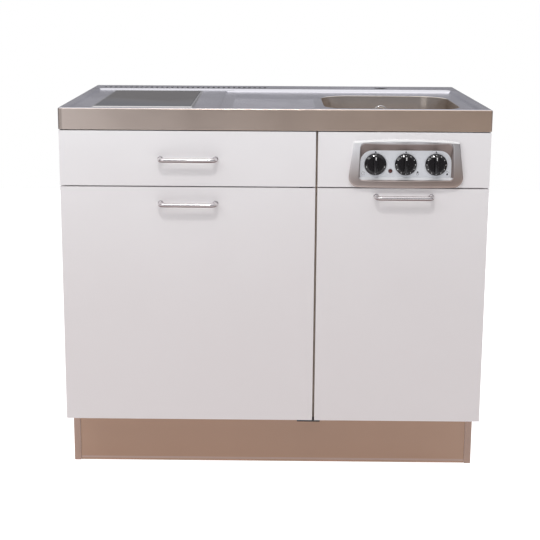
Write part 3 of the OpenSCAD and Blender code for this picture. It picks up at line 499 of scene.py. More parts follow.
def loft(rings, closeFirst=False, closeLast=False):
    # rings (count, around, 3), each joined to the next
    rings = np.asarray(rings, float)
    return rings.reshape(-1, 3), ringFaces(len(rings), rings.shape[1], closeFirst, closeLast)


def piece(name, parts, node, smooth=40, slotName=None, body=None, replaced=True):
    # a finished piece on its node's body, in its node's slot and in its place
    mesh = meshFrom(name, parts)
    made = bpy.data.objects.new(name, mesh)
    bpy.context.scene.collection.objects.link(made)
    slotName = slotName or slotOfNode[node]
    mesh.materials.append(finishes[slotName])
    mesh.polygons.foreach_set("use_smooth", np.ones(len(mesh.polygons), bool))
    mesh.set_sharp_from_angle(angle=math.radians(smooth))
    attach(made, body or bodyOfNode[node])
    if replaced:
        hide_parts(node)
    return made


def walled(made, thickness):
    # a sheet gets its thickness on the side away from its normals
    wall = made.modifiers.new("wall", "SOLIDIFY")
    wall.thickness, wall.offset, wall.use_even_offset = thickness, -1, True
    return made


def softened(node, width):
    # the node's own shape, its loose triangles merged into flat faces and its edges rounded
    mesh = merged(frame["nodes"][node].data.copy(), 1e-6, math.radians(1))
    made = bpy.data.objects.new(node + "Soft", mesh)
    bpy.context.scene.collection.objects.link(made)
    mesh.materials.clear()
    mesh.materials.append(finishes[slotOfNode[node]])
    mesh.shade_flat()
    edge = made.modifiers.new("edge", "BEVEL")
    edge.width, edge.segments, edge.limit_method = width, 3, "ANGLE"
    edge.angle_limit = math.radians(40)
    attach(made, bodyOfNode[node])
    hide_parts(node)
    return made


# worktop

worktop = {
    "sheet": 0.0012,           # thickness of the pressed steel
    "edgeRadius": 0.0035,      # roll from the top into the apron
    "cornerRadius": 0.005,
    "hobPress": {"low": (0.021, 0.017), "high": (0.402, 0.504), "runLow": (0.007, 0.007),
                 "runHigh": (0.007, 0.012), "drop": 0.004, "radius": 0.016},
    "sinkPress": {"low": (0.362, 0.017), "high": (0.979, 0.504), "runLow": (0.010, 0.010),
                  "runHigh": (0.010, 0.026), "drop": 0.007, "radius": 0.020},
    "slopeSteps": (-0.08, 0, 0.06, 0.13, 0.22, 0.36, 0.5, 0.64, 0.78, 0.87, 0.94, 1, 1.08),
    "guard": 0.0006,           # a second loop this far from each edge keeps the flats flat
    "guardRadius": 0.002,
    "slopeRound": 0.24,        # share of a slope that its roundings take at each end
    "radiusFall": 0.3,         # share of a pressing's corner radius that its slope loses
    "halvings": 22,            # steps of the search for a point's share of a slope
    "bowlLow": (0.618, 0.060), "bowlHigh": (0.946, 0.400), "bowlRadius": 0.085,
    "hobLow": (0.083, 0.048), "hobHigh": (0.297, 0.435), "hobRadius": 0.003,
    "tap": (0.793, 0.547), "tapRadius": 0.0175,
    "vents": 32, "ventStart": 0.030, "ventPitch": 0.0142, "ventWidth": 0.0063,
    "ventFront": 0.527, "ventLength": 0.028,
    "grooves": 10, "grooveLow": (0.396, 0.050), "grooveHigh": (0.600, 0.284), "grooveWidth": 0.008,
    "grooveDepth": 0.0004,
}
corner = np.array([topLow.x, topLow.y])      # the worktop's front left corner, where its places start
topZ = topHigh.z


def outlineDistance(points, low, high, radius):
    # signed distance to a rounded rectangle, one for all points or one for each: negative inside
    away = np.abs(points - (low + high) / 2) - (high - low) / 2 + np.reshape(radius, (-1, 1))
    return np.linalg.norm(np.maximum(away, 0), axis=1) + np.minimum(away.max(axis=1), 0) - radius


def pressOutline(press, share):
    # outline of a pressing at a share of the way down its slope
    low = corner + np.array(press["low"]) + share * np.array(press["runLow"])
    high = corner + np.array(press["high"]) - share * np.array(press["runHigh"])
    return low, high, press["radius"] * (1 - worktop["radiusFall"] * share)


def slopeShape(share, roundness):
    # straight slope with a parabola at each end, so that it leaves and lands level
    bend = 2 * roundness * (1 - roundness)
    straight = (share - roundness / 2) / (1 - roundness)
    return np.where(share < roundness, share ** 2 / bend,
                    np.where(share > 1 - roundness, 1 - (1 - share) ** 2 / bend, straight))


def pressDrop(points, press):
    # depth of a pressing at each point: the share of its slope is found by halving
    ends = zip(pressOutline(press, 0), pressOutline(press, 1))
    lowEnds, highEnds, radii = (np.array(pair) for pair in ends)
    inner, outer = np.zeros(len(points)), np.ones(len(points))
    for _ in range(worktop["halvings"]):
        share = (inner + outer) / 2
        low = lowEnds[0] + share[:, None] * (lowEnds[1] - lowEnds[0])
        high = highEnds[0] + share[:, None] * (highEnds[1] - highEnds[0])
        radius = radii[0] + share * (radii[1] - radii[0])
        inside = outlineDistance(points, low, high, radius) <= 1e-9
        inner, outer = np.where(inside, share, inner), np.where(inside, outer, share)
    return press["drop"] * slopeShape(np.where(inner > 0.9999, 1, inner), worktop["slopeRound"])


def grooveLines():
    # low and high corners of the drainer's grooves, evenly spread over its front part
    low, high = np.array(worktop["grooveLow"]), np.array(worktop["grooveHigh"])
    middle = np.linspace(low[1], high[1], worktop["grooves"])
    half = worktop["grooveWidth"] / 2
    return [(corner + (low[0], y - half), corner + (high[0], y + half)) for y in middle]


def grooveDrop(points):
    # round hollow across each groove: a raised cosine of the distance from its outline
    depth, half = np.zeros(len(points)), worktop["grooveWidth"] / 2
    for low, high in grooveLines():
        inside = np.clip(-outlineDistance(points, low, high, half) / half, 0, 1)
        depth = np.maximum(depth, (1 - np.cos(inside * math.pi)) / 2 * worktop["grooveDepth"])
    return depth


def topHeight(points):
    # the deeper of the two pressings, and the drainer's grooves
    press = np.maximum(pressDrop(points, worktop["hobPress"]), pressDrop(points, worktop["sinkPress"]))
    return topZ - press - grooveDrop(points)


def makeWorktop():
    # a plan cut into triangles between its outlines, each point as low as the pressings say there
    edge, turn = worktop["edgeRadius"], worktop["cornerRadius"]
    outerLow, outerHigh = np.array([topLow.x, topLow.y]), np.array([topHigh.x, topHigh.y])
    inner = roundLoop(outerLow + edge, outerHigh - edge, turn - edge, 6)
    guard = worktop["guard"]
    away = edge + guard
    loops = [inner, roundLoop(outerLow + away, outerHigh - away, worktop["guardRadius"], 6)]
    for press in (worktop["hobPress"], worktop["sinkPress"]):
        loops += [roundLoop(*pressOutline(press, share), 12) for share in worktop["slopeSteps"]]
    for low, high in grooveLines():
        half = worktop["grooveWidth"] / 2
        loops += [roundLoop(low + half * s, high - half * s, half * (1 - s) + speck, 6)
                  for s in (0, 0.25, 0.5, 0.75, 0.97)]
    tap, tapRadius = corner + worktop["tap"], worktop["tapRadius"]
    holes = [(corner + worktop["bowlLow"], corner + worktop["bowlHigh"], worktop["bowlRadius"], 24),
             (corner + worktop["hobLow"], corner + worktop["hobHigh"], worktop["hobRadius"], 4),
             (tap - tapRadius, tap + tapRadius, tapRadius, 12)]
    for i in range(worktop["vents"]):
        start = corner + (worktop["ventStart"] + i * worktop["ventPitch"], worktop["ventFront"])
        slotSize = np.array([worktop["ventWidth"], worktop["ventLength"]])
        holes.append((start, start + slotSize, worktop["ventWidth"] / 2 - speck, 6))
    for away in (0, guard):
        for low, high, radius, steps in holes:
            loops.append(roundLoop(low - away, high + away, radius + away, steps))
    points = np.concatenate(loops)
    edges, start = [], 0
    for loop in loops:
        index = start + np.arange(len(loop))
        edges += np.stack([index, np.roll(index, -1)], 1).tolist()
        start += len(loop)
    flat, _, faces = delaunay_2d_cdt([Vector(p) for p in points], edges, [], 1, 1e-7)[:3]
    flat, faces = np.array([tuple(p) for p in flat]), np.array(faces)
    middle = flat[faces].mean(axis=1)
    keep = np.ones(len(faces), bool)
    for low, high, radius, _ in holes:
        keep &= outlineDistance(middle, low, high, radius) > 0
    faces = faces[keep]
    first, second, third = (flat[faces[:, i]] for i in range(3))
    clockwise = np.cross(second - first, third - first) < 0
    faces[clockwise] = faces[clockwise][:, ::-1]
    top = np.column_stack([flat, topHeight(flat)])

    # the edge: quarter circle from the apron to the top, over the straight apron
    rings = [atHeight(roundLoop(outerLow, outerHigh, turn, 6), height)
             for height in (topLow.z, topLow.z + guard, topZ - edge - guard)]
    rings += [atHeight(roundLoop(outerLow + inset, outerHigh - inset, turn - inset, 6), topZ - edge + rise)
              for inset, rise in quarter(edge, 7)]
    made = piece("pressedWorktop", [(top, faces.tolist()), loft(rings)], "worktop", 60)
    return walled(made, worktop["sheet"])


makeWorktop()
print("worktop: pressed sheet with %d vents" % worktop["vents"])


# sink bowl

bowl = {
    "lipRadius": 0.0015,       # roll from the drainer into the wall
    "wallInset": 0.011,        # how much the wall has come in where the floor's bend starts
    "bendRadius": 0.034,       # bend between wall and floor
    "depth": 0.1475,
    "floorFall": 0.0035,       # fall of the floor towards the waste
    "waste": (0.782, 0.230), "wasteRadius": 0.044,
    "sheet": 0.001,
}


def makeBowl():
    # the opening's outline goes in and down by the wall's profile, and then runs out to the waste
    low, high = corner + worktop["bowlLow"], corner + worktop["bowlHigh"]
    floorZ = topZ - worktop["sinkPress"]["drop"]
    lip, bend, depth, wallIn = (bowl[key] for key in ("lipRadius", "bendRadius", "depth", "wallInset"))
    bendStart = depth - bend - bowl["floorFall"]
    profile = [(rise, -inset) for inset, rise in quarter(lip, 7)]
    profile += [(lip + (wallIn - lip) * s, -lip - (bendStart - lip) * s) for s in (0.25, 0.5, 0.75, 1)]
    profile += [(wallIn + inset, -bendStart - rise) for inset, rise in quarter(bend, 10)[1:]]
    rings = [atHeight(roundLoop(low + inset, high - inset, worktop["bowlRadius"] - inset, 24), floorZ + drop)
             for inset, drop in profile]
    waste = corner + bowl["waste"]
    last = rings[-1][:, :2]
    turn = np.arctan2(last[:, 1] - waste[1], last[:, 0] - waste[0])
    hole = waste + bowl["wasteRadius"] * np.stack([np.cos(turn), np.sin(turn)], 1)
    for share in np.linspace(0, 1, 9)[1:]:
        rings.append(atHeight(last + (hole - last) * share, floorZ - depth + bowl["floorFall"] * (1 - share)))
    made = piece("deepDrawnBowl", [loft(rings)], "sink_bowl", 60)
    return walled(made, bowl["sheet"])


makeBowl()
print("bowl: drawn shell with its lip and bends")


# overflow rose

rose = {
    "radius": 0.0175, "inner": 0.0118, "thick": 0.0030, "round": 0.0013,
    "collar": 0.0012, "collarBack": -0.004,      # tube behind the ring: its wall and its end
    "hub": 0.0030, "hubBack": 0.0004, "hubRound": 0.001, "hubSunk": 0.0004, "hubCrown": 0.0001,
    "arms": (90, 210, 330), "armWidth": 0.0026, "armStart": 0.001, "armLap": 0.0005,
    "armShape": ((1, 0.0004), (1, 0.0016), (0.5, 0.0024), (-0.5, 0.0024), (-1, 0.0016), (-1, 0.0004)),
    "wellWall": 0.0010, "wellBack": -0.0036, "wellFloor": -0.0008, "wellBend": 0.0002,
}


def makeRose():
    # a turned ring and hub, straight arms of one section between them, and behind them a dark cup that stands
    # for the shade in the overflow hole
    low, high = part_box("overflow_rose")
    out, inner, thick, bend = (rose[key] for key in ("radius", "inner", "thick", "round"))
    centre = ((low.x + high.x) / 2, (low.z + high.z) / 2, -low.y - thick)
    collar, collarBack = inner + rose["collar"], rose["collarBack"]
    ring = [(out, 0), *arcOf((out - bend, thick - bend), bend, 0, 90)]
    ring += [*arcOf((inner + bend, thick - bend), bend, 90, 180), (inner, collarBack)]
    ring += [(collar, collarBack), (collar, 0), (out, 0)]
    parts = [loft(facing(lathe(ring, centre)))]
    bend, rim = rose["hubRound"], thick - rose["hubSunk"]
    hub = [(rose["hub"], rose["hubBack"]), *arcOf((rose["hub"] - bend, rim - bend), bend, 0, 90)]
    hub.append((speck, rim + rose["hubCrown"]))
    parts.append(loft(facing(lathe(hub, centre, 24)), True, True))
    section = np.array(rose["armShape"]) * (rose["armWidth"] / 2, 1)
    stations = np.linspace(rose["armStart"], inner + rose["armLap"], 5)
    for angle in np.radians(rose["arms"]):
        along, across = np.array([(math.cos(angle), math.sin(angle)), (-math.sin(angle), math.cos(angle))])
        flat = stations[:, None, None] * along + section[None, :, :1] * across + np.array(centre[:2])
        up = np.broadcast_to(section[None, :, 1:] + centre[2], flat.shape[:2] + (1,))
        parts.append(loft(facing(np.concatenate([flat, up], -1)), True, True))
    piece("overflowRose", parts, "overflow_rose", 35)
    # painted shade: a dark cup in the black finish behind the rose stands for the shade in the overflow hole
    wall, wellFloor = inner + rose["wellWall"], rose["wellFloor"]
    well = [(wall, rose["wellBack"]), (wall, wellFloor), (inner + rose["wellBend"], wellFloor)]
    well.append((speck, wellFloor))
    piece("overflowShadeCup", [loft(facing(lathe(well, centre, 48)), False, True)], "overflow_rose", 35,
          "dark_plastic", replaced=False)


makeRose()
print("rose: ring, hub and %d arms" % len(rose["arms"]))


# hob

hob = {
    "section": ((0, 0), (0.0003, 0.0006), (0.0022, 0.0028), (0.0030, 0.0035), (0.0040, 0.0038),
                (0.0060, 0.0039), (0.0065, 0.0036), (0.0066, 0.0030), (0.0066, 0), (0, 0)),
    "round": 0.005, "roundFall": 0.6, "leastRound": 0.0012,
    "glassRound": 0.0016, "bevel": 0.0007, "seam": 0.0003, "glassSunk": 0.0001,
}


def makeHob():
    # the frame's section of (inset, height) goes round its outline, and the glass has a ground edge
    low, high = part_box("hob_frame")
    lo, hi, rings = np.array([low.x, low.y]), np.array([high.x, high.y]), []
    for inset, up in hob["section"]:
        radius = max(hob["round"] - inset * hob["roundFall"], hob["leastRound"])
        rings.append(atHeight(roundLoop(lo + inset, hi - inset, radius, 8), low.z + up))
    piece("hobFrame", [loft(rings)], "hob_frame", 50)
    low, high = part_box("hob_glass")
    lo, hi, bevel, rings = np.array([low.x, low.y]), np.array([high.x, high.y]), hob["bevel"], []
    for share, height in ((0, low.z), (0, high.z - bevel), (0.3, high.z - bevel * 0.3), (1, high.z)):
        inset = share * bevel + hob["seam"]
        loop = roundLoop(lo + inset, hi - inset, hob["glassRound"], 6)
        rings.append(atHeight(loop, height - hob["glassSunk"]))
    piece("hobGlass", [loft(rings, True, True)], "hob_glass", 30)


makeHob()
print("hob: frame and glass")


# controls

bezel = {
    "topHalf": 0.1220, "lowHalf": 0.1320, "topRound": 0.003, "lowRound": 0.022, "edgeRound": 0.0036,
    "crest": 0.0060,                        # how far the arch of its top edge passes its flat rim
    "topBow": 0.0065, "footBow": 0.002,     # rise of the top edge and drop of the foot at the middle
    "topBand": 0.0030, "topLip": 0.45,      # rounding of the top edge, and share of the lip that the top has
    "proud": 0.014, "planBow": 0.005,       # how far it stands out, and how much less at its ends
    "openHalf": 0.1066, "openLowHalf": 0.1098, "openTop": 0.0519, "openBow": 0.0015,
    "openFoot": 0.0347, "openRound": 0.010, "lip": 0.0026,
    "plateHalf": 0.1055, "plateFoot": 0.0335, "plateTop": 0.0325, "plateRound": 0.028,
    "cover": 0.0032,                        # strip of the plate that the funnel's foot hides
    "plateDepth": 0.004, "plateFootRound": 0.003, "seat": 0.002, "seam": 0.0001,
    "sleeveHalf": 0.114, "sleeveTop": 0.005, "sleeveFoot": 0.002, "sleeveRound": 0.008,
    "roundFall": 0.6,                       # how fast the top's radius goes with the outline
}
faceOut = -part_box("fascia")[0].y             # outward place of the fronts' faces
knobBoxes = {node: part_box(node) for node in ("timer_knob", "rear_zone_knob", "front_zone_knob")}
knobPlaces = {node: ((low.x + high.x) / 2, (low.z + high.z) / 2) for node, (low, high) in knobBoxes.items()}
panelX, knobZ = knobPlaces["rear_zone_knob"]
bezelLow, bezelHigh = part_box("control_bezel")


def mirrored(half, top, topRound, lowHalf, foot, lowRound):
    # four corner circles of an outline about the panel's middle, counterclockwise from upper right
    upper, lower, high, low = half - topRound, lowHalf - lowRound, top - topRound, foot + lowRound
    return [(panelX + upper, high, topRound), (panelX - upper, high, topRound),
            (panelX - lower, low, lowRound), (panelX + lower, low, lowRound)]


def bowed(loop, out, share=1.0, rise="topBow"):
    # the bezel's bow: top and foot curve away from the middle, and the face falls back at the ends
    across, up = loop[:, 0] - panelX, loop[:, 1]
    middle, half = (bezelLow.z + bezelHigh.z) / 2, (bezelHigh.z - bezelLow.z) / 2
    crown = 1 - (across / bezel["lowHalf"]) ** 2
    bow = np.where(up > middle, bezel[rise], bezel["footBow"]) * crown * share
    lifted = up + bow * (up - middle) / half
    back = bezel["planBow"] * (across / bezel["lowHalf"]) ** 2 * np.clip(out / bezel["proud"], 0, 1)
    return np.stack([loop[:, 0], lifted, faceOut + out - back], 1)


def bezelOutline(shrink):
    # outer outline, smaller by shrink at the sides and foot and by the top band's share of it above
    top, foot = bezelHigh.z + bezel["crest"] - bezel["topBow"], bezelLow.z + bezel["footBow"]
    drop = shrink * bezel["topBand"] / bezel["edgeRound"]
    turn = bezel["topRound"] - shrink * bezel["roundFall"]
    return hullLoop(mirrored(bezel["topHalf"] - shrink, top - drop, turn,
                             bezel["lowHalf"] - shrink, foot + shrink, bezel["lowRound"] - shrink))


def openingOutline(grow):
    # outline of the opening, larger by grow, of which the top has the lip's share
    half, lowHalf, turn = bezel["openHalf"] + grow, bezel["openLowHalf"] + grow, bezel["openRound"] + grow
    return hullLoop(mirrored(half, knobZ + bezel["openTop"] + grow * bezel["topLip"], turn, lowHalf,
                             knobZ - bezel["openFoot"] - grow, turn))


def plateOutline(grow, cover=0.0):
    # outline of the control plate, larger by grow, with its foot raised by cover
    half = bezel["plateHalf"] + grow
    return hullLoop(mirrored(half, knobZ + bezel["plateTop"] + grow, bezel["plateRound"] + grow, half,
                             knobZ - bezel["plateFoot"] - grow + cover, bezel["plateFootRound"] + grow))


def makeBezel():
    # rings over the rounded edge, across the face, round the lip and down the funnel to the plate,
    # and then back behind the plate and round the sleeve
    edge, lip, proud = bezel["edgeRound"], bezel["lip"], bezel["proud"]
    rings = [bowed(bezelOutline(0), 0), bowed(bezelOutline(0), (proud - edge) * 0.5)]
    rings += [bowed(bezelOutline(inset), proud - edge + rise) for inset, rise in quarter(edge, 6)]
    outer, inner = rings[-1], bowed(openingOutline(lip), proud, 1, "openBow")
    rings += [outer + (inner - outer) * share for share in (0.33, 0.66)]
    rings += [bowed(openingOutline(lip - rise), proud - inset, 1, "openBow")
              for inset, rise in quarter(lip, 6)]
    depth, seat, half, turn = (bezel[key] for key in ("plateDepth", "seat", "sleeveHalf", "sleeveRound"))
    mouth, foot = rings[-1], bowed(plateOutline(0, bezel["cover"]), bezel["seam"] - depth, 0)
    rings += [mouth + (foot - mouth) * share for share in np.linspace(0, 1, 7)[1:]]
    sleeve = hullLoop(mirrored(half, bezelHigh.z - bezel["sleeveTop"], turn, half,
                               knobZ - bezel["openFoot"] - bezel["sleeveFoot"], turn))
    rings += [bowed(plateOutline(seat), out, 0) for out in (-depth, -2 * depth)]
    rings += [bowed(sleeve, out, 0) for out in (-2 * depth, 0)]
    rings.append(bowed(bezelOutline(0), 0))
    piece("controlBezel", [loft(facing(rings))], "control_bezel", 50)


knob = {
    "radius": 0.0255, "wall": 0.0030, "crown": 0.0070, "coneEnd": 0.0190, "coneRound": 0.0022,
    "crownFlat": 0.0120,                              # radius inside which the crown has no more rings
    "gripHalf": 0.0052, "gripLength": 0.0212, "gripRound": 0.0048, "gripRise": 0.0164, "gripEdge": 0.0022,
    "gripTaper": 0.0010, "gripFoot": 0.0052, "gripWaist": 0.0075, "leastRound": 0.0008,
    "dotRing": 0.0218, "dot": 0.0011, "skin": 0.00006, "base": 0.0032,
    "pointer": (0.0112, 0.0186, 0.0007, 0.0014),      # its foot, tip and half widths there
}
scales = {"timer_knob": (90, 345, 270, 195), "rear_zone_knob": range(0, 360, 30),
          "front_zone_knob": range(0, 360, 30)}
knobNames = {"timer_knob": "timerKnob", "rear_zone_knob": "rearZoneKnob", "front_zone_knob": "frontZoneKnob"}


def skirtProfile():
    # straight wall, a cone for the scale and the flat crown, joined by roundings
    radius, wall, crown, bend = knob["radius"], knob["wall"], knob["crown"], knob["coneRound"]
    lean = math.atan2(crown - wall, radius - knob["coneEnd"])
    square = 90 - math.degrees(lean)
    low = arcOf((radius - bend, wall - bend * math.tan((math.pi / 2 - lean) / 2)), bend, 0, square, 6)
    top = arcOf((knob["coneEnd"] - bend * math.tan(lean / 2), crown - bend), bend, square, 90, 5)
    return [(radius, 0), *low, *top, (knob["crownFlat"], crown), (speck, crown)]


def makeKnob(node):
    # a turned skirt, and on it a grip whose outline comes in by the taper and its rounded edge
    centre = (*knobPlaces[node], faceOut - knob["base"])
    axis = np.array(centre[:2])
    parts = [loft(facing(lathe(skirtProfile(), centre)), True, True)]
    half, length, turn, edge = (knob[key] for key in ("gripHalf", "gripLength", "gripRound", "gripEdge"))
    steps = [(0, knob["gripFoot"]), (0, knob["gripWaist"])]
    steps += [(knob["gripTaper"] + inset, knob["gripRise"] - edge + rise) for inset, rise in quarter(edge, 6)]
    rings = []
    for inset, out in steps:
        loop = roundLoop((-half + inset, -length + inset), (half - inset, length - inset),
                         max(turn - inset, knob["leastRound"]), 8)
        rings.append(atHeight(loop + axis, centre[2] + out))
    parts.append(loft(facing(rings), True, True))
    piece(knobNames[node], parts, node, 35)

    # printed dots that follow the skirt, and the pointer on the grip
    marks = []
    radius, out = np.array(skirtProfile()[::-1]).T
    for angle in np.radians(scales[node]):
        middle = knob["dotRing"] * np.array([math.cos(angle), math.sin(angle)])
        rings = []
        for share in (1, 0.5, 0.02):
            loop = circleLoop(middle, knob["dot"] * share, 12)
            rise = np.interp(np.linalg.norm(loop, axis=1), radius, out) + knob["skin"]
            rings.append(atHeight(loop + axis, centre[2] + rise))
        marks.append(loft(facing(rings), False, True))
    foot, tip, footHalf, tipHalf = knob["pointer"]
    line = np.array([(-footHalf, foot), (footHalf, foot), (tipHalf, tip), (-tipHalf, tip)]) + axis
    marks.append((facing(atHeight(line, centre[2] + knob["gripRise"] + knob["skin"])), [[0, 1, 2, 3]]))
    piece(knobNames[node] + "Marks", marks, node, 60, "white_plastic", replaced=False)


prints = {"skin": 0.00008, "triangle": (0.0268, 0.0044, 0.0022), "ring": 0.0026, "ringLine": 0.0005,
          "dot": 0.0020, "symbols": {"rear_zone_knob": (0.0280, -0.0180, -0.0226),
                                     "front_zone_knob": (0.0262, -0.0230, -0.0184)},
          "clock": (-0.0278, -0.0213, 0.0042, 0.0005)}


def flatRing(centre, radius, line, out, around=28):
    # thin ring on the plate between two circles
    loops = [circleLoop(centre, r, around) for r in (radius, radius - line)]
    return loft(facing([atHeight(loop, out) for loop in loops]))


def makePrints():
    # a triangle over each knob, a dot and a ring beside the zones' knobs, and a clock by the timer's
    plateOut = faceOut - bezel["plateDepth"] + prints["skin"]
    dark, pale = [], []
    for node, (x, z) in knobPlaces.items():
        foot, rise, half = prints["triangle"]
        corners = np.array([(x - half, z + foot), (x + half, z + foot), (x, z + foot + rise)])
        dark.append((facing(atHeight(corners, plateOut)), [[0, 1, 2]]))
        if node in prints["symbols"]:
            across, dotUp, ringUp = prints["symbols"][node]
            loops = [circleLoop((x + across, z + dotUp), r, 20) for r in (prints["dot"], speck)]
            dark.append(loft(facing([atHeight(loop, plateOut) for loop in loops]), False, True))
            dark.append(flatRing((x + across, z + ringUp), prints["ring"], prints["ringLine"], plateOut))
    x, z = knobPlaces["timer_knob"]
    across, up, radius, line = prints["clock"]
    middle = np.array([x + across, z + up])
    pale.append(flatRing(middle, radius, line, plateOut))
    for reach in ((0, radius * 0.7), (radius * 0.5, 0)):
        side = np.array([-reach[1], reach[0]]) / np.linalg.norm(reach) * line / 2
        hand = np.array([middle - side, middle + side, middle + side + reach, middle - side + reach])
        pale.append((facing(atHeight(hand[::-1], plateOut)), [[0, 1, 2, 3]]))
    piece("panelSigns", dark, "control_plate", 60, "black_plastic", replaced=False)
    piece("clockSign", pale, "control_plate", 60, "handle_steel", replaced=False)


lamp = {"radius": 0.0050, "rise": 0.0030, "rim": 0.0008, "stem": -0.013, "brim": 0.0006,
        "domeFoot": 0.0008, "domeShare": 0.94}       # the dome's radius is this share of the brim's


def makeLamp():
    # a turned lens: stem, brim and a dome of part of an ellipse
    low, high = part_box("lamp_lens")
    centre = ((low.x + high.x) / 2, (low.z + high.z) / 2, faceOut - bezel["plateDepth"])
    radius, rise, foot = lamp["radius"], lamp["rise"], lamp["domeFoot"]
    neck, dome = radius - lamp["rim"], radius * lamp["domeShare"]
    turned = [(neck, lamp["stem"]), (neck, 0), (radius, 0), (radius, lamp["brim"])]
    turned += [(dome * math.cos(a), foot + (rise - foot) * math.sin(a)) for a in np.linspace(0, 1.5, 9)]
    turned.append((speck, rise))
    piece("lampLens", [loft(facing(lathe(turned, centre, 40)), True, True)], "lamp_lens", 50)


makeBezel()
for knobNode in knobPlaces:
    makeKnob(knobNode)
makePrints()
makeLamp()
print("controls: bezel, %d knobs with their scales, signs and lamp" % len(knobPlaces))


# handles

handle = {
    "bar": 0.005, "bend": 0.011, "around": 28,
    "foot": 0.0066, "footThick": 0.0020, "footRound": 0.0006, "footOver": 0.0001,
    "legLow": 0.0002, "legHigh": 0.004, "ease": 0.0005,      # places along a leg, and off its bend
}


def tube(path, radius, around):
    # circle carried along a path in the across and outward plane, square to the path
    path = np.array(path, float)
    ahead = np.gradient(path, axis=0)
    ahead /= np.linalg.norm(ahead, axis=1, keepdims=True)
    side = np.stack([ahead[:, 1], -ahead[:, 0]], 1)
    turn = np.arange(around) / around * 2 * math.pi
    rings = np.empty((len(path), around, 3))
    rings[..., 0] = path[:, :1] + radius * np.cos(turn) * side[:, :1]
    rings[..., 2] = path[:, 1:] + radius * np.cos(turn) * side[:, 1:]
    rings[..., 1] = radius * np.sin(turn)
    return rings


def makeHandle(node, name):
    # a tube along a leg, its bend, the bar and the same leg mirrored, and a turned foot at each end
    low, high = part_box(node)
    middle, height = (low.x + high.x) / 2, (low.z + high.z) / 2
    bar, bend, ease, foot, thick = (handle[key] for key in ("bar", "bend", "ease", "foot", "footThick"))
    half = (high.x - low.x) / 2 - foot + handle["footOver"]
    reach = -low.y - faceOut - bar
    leg = [(-half, out) for out in (handle["legLow"], handle["legHigh"], reach - bend - ease)]
    leg += arcOf((-half + bend, reach - bend), bend, 180, 90, 9)
    across = half - bend - ease
    path = leg + [(x, reach) for x in np.linspace(-across, across, 9)] + [(-x, out) for x, out in leg[::-1]]
    rings = tube(path, bar, handle["around"]) + np.array([middle, height, faceOut])
    parts = [loft(facing(rings), True, True)]
    turn = handle["footRound"]
    profile = [(foot, 0), (foot, thick - turn), (foot - turn / 3, thick - turn / 3), (foot - turn, thick)]
    profile.append((bar, thick))
    for side in (-half, half):
        parts.append(loft(facing(lathe(profile, (middle + side, height, faceOut), 32)), True, True))
    piece(name, parts, node, 35)


for handleNode, handleName in (("drawer_handle", "drawerHandle"), ("left_door_handle", "leftHandle"),
                               ("right_door_handle", "rightHandle")):
    makeHandle(handleNode, handleName)
print("handles: three bent bars")


# fronts and boards with eased edges

easedEdges = {
    "left_door": 0.0012, "right_door": 0.0012, "drawer_front": 0.0012, "fascia": 0.0012,
    "plinth_board": 0.0008, "left_side_panel": 0.0007, "right_side_panel": 0.0007, "centre_panel": 0.0007,
    "left_floor": 0.0007, "right_floor": 0.0007, "drawer_sides": 0.0012, "drawer_back": 0.0012,
    "fridge_case": 0.0025, "fridge_door": 0.0030, "door_rack": 0.0009, "fridge_liner": 0.0009,
    "fridge_shelves": 0.0008,
}
for nodeName, easedWidth in easedEdges.items():
    softened(nodeName, easedWidth)
print("boards: %d with eased edges" % len(easedEdges))


# door gasket

gasket = {"width": 0.0140, "round": 0.006, "skin": 0.45, "bead": (0.30, 0.72), "beadHalf": 0.16}


def gasketHeight(share):
    # magnet strip's section: a low skin with two soft beads, each a raised cosine across the width
    beads = [np.clip(1 - np.abs(share - at) / gasket["beadHalf"], 0, 1) for at in gasket["bead"]]
    return gasket["skin"] + (1 - gasket["skin"]) * (1 - np.cos(np.maximum(*beads) * math.pi)) / 2


def makeGasket():
    # the strip's section goes round the door: each share of its width is an outline that much smaller
    low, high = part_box("door_gasket")
    lo, hi, thick = np.array([low.x, low.z]), np.array([high.x, high.z]), high.y - low.y
    shares = np.linspace(0, 1, 21)
    steps = [(0, 0), *zip(shares, gasketHeight(shares)), (1, 0), (0, 0)]
    rings = []
    for share, up in steps:
        inset = share * gasket["width"]
        rings.append(atHeight(roundLoop(lo + inset, hi - inset, gasket["round"], 6), -low.y - up * thick))
    piece("doorGasket", [loft(facing(rings)[:, ::-1])], "door_gasket", 50)


makeGasket()
print("gasket: strip with two beads")


# floor, lights and camera

studio = {
    "floor": tone(0.86, 0.855, 0.85), "floorHalf": 3.6, "floorGlow": tone(0.16, 0.16, 0.16),
    "floorSeen": tone(0.71, 0.71, 0.71), "backdrop": tone(1, 1, 1), "skyGain": (1.4, 1.4, 1.4),
    "sky": [(0, tone(0.14, 0.13, 0.12)), (0.5, tone(0.155, 0.148, 0.15)), (0.62, tone(0.205, 0.208, 0.228)),
            (0.70, tone(0.28, 0.28, 0.30)), (0.78, tone(0.48, 0.48, 0.49)), (0.93, tone(0.6, 0.6, 0.61)),
            (0.97, tone(0.85, 0.85, 0.85))],
    "lights": [  # place, aim, width, depth, power, colour
        ((-0.3, -2.7, 3.8), (0, -0.3, 0.5), 0.35, 0.35, 30, (1, 0.99, 0.98)),
        ((-2.0, -2.4, 2.6), (0.2, -0.3, 0.8), 2.0, 0.7, 12, (1, 1, 1)),
        ((0, 2.9, 3.4), (0, 0.1, 0.9), 4.6, 2.4, 36, (1, 1, 1)),
        ((-1.5, -2.4, 0.75), (0.1, -0.3, 0.7), 1.1, 0.9, 1.8, (1, 0.98, 0.96)),
    ],
}
lens = {"place": (-0.0048, -2.8675, 1.1789), "pitch": 10.909, "yaw": 0.634, "roll": 0.283,
        "focal": 1128.9, "photoWidth": 540, "sensor": 36, "shiftX": 0.0189, "shiftY": -0.125}


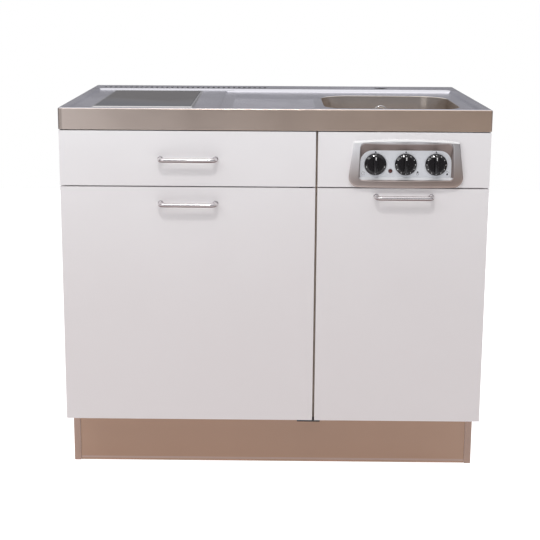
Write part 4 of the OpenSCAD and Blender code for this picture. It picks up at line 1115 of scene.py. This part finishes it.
def makeStage():
    # a plain floor, the world and the lamps, each turned from its place to its aim
    half = studio["floorHalf"]
    floor = bpy.data.meshes.new("floor")
    floor.from_pydata([(-half, -half, 0), (half, -half, 0), (half, half, 0), (-half, half, 0)], [],
                      [(0, 1, 2, 3)])
    ground = bpy.data.objects.new("floor", floor)
    bpy.context.scene.collection.objects.link(ground)
    paper = Finish("studioFloor")
    shown = paper.add("ShaderNodeLightPath", {}, {}, "Is Camera Ray")
    ground.data.materials.append(paper.surface(
        Base_Color=studio["floor"], Roughness=0.7, Emission_Strength=1,
        Emission_Color=paper.mix(shown, studio["floorGlow"], studio["floorSeen"])))
    # the world: plain white where the camera sees it, and a soft sky for all else, dim at eye level
    sky = Finish("studio", bpy.data.worlds.new("studio"))
    bpy.context.scene.world = sky.material
    ray = sky.add("ShaderNodeTexCoord", {}, {}, "Generated")
    height = sky.add("ShaderNodeSeparateXYZ", {}, {0: ray}, 2)
    light = sky.add("ShaderNodeValToRGB", {"stops": studio["sky"]}, {0: height * 0.5 + 0.5}, 0)
    seen = sky.add("ShaderNodeLightPath", {}, {}, "Is Camera Ray")
    light = sky.add("ShaderNodeVectorMath", {"operation": "MULTIPLY"}, {0: light, 1: studio["skyGain"]})
    sky.surface(Color=sky.mix(seen, light, studio["backdrop"]), Strength=1)
    bpy.context.scene.view_settings.view_transform = "Standard"
    for i, (place, aim, width, depth, power, colour) in enumerate(studio["lights"]):
        data = bpy.data.lights.new("softbox%d" % i, "AREA")
        data.shape, data.size, data.size_y, data.energy, data.color = "RECTANGLE", width, depth, power, colour
        softbox = bpy.data.objects.new("softbox%d" % i, data)
        softbox.location = place
        softbox.rotation_euler = (Vector(aim) - Vector(place)).to_track_quat("-Z", "Y").to_euler()
        bpy.context.scene.collection.objects.link(softbox)


def makeCamera():
    # its focal length is in pixels of the photograph, so it is scaled by sensor over width
    data = bpy.data.cameras.new("camera")
    data.sensor_width = lens["sensor"]
    data.lens = lens["sensor"] * lens["focal"] / lens["photoWidth"]
    data.shift_x, data.shift_y = lens["shiftX"], lens["shiftY"]
    camera = bpy.data.objects.new("camera", data)
    turn = (Matrix.Rotation(math.radians(lens["yaw"]), 4, "Z")
            @ Matrix.Rotation(math.radians(90 - lens["pitch"]), 4, "X")
            @ Matrix.Rotation(math.radians(lens["roll"]), 4, "Z"))
    camera.matrix_world = Matrix.Translation(lens["place"]) @ turn
    bpy.context.scene.collection.objects.link(camera)
    bpy.context.scene.camera = camera


makeStage()
makeCamera()
print("stage: floor, %d lights and the camera" % len(studio["lights"]))
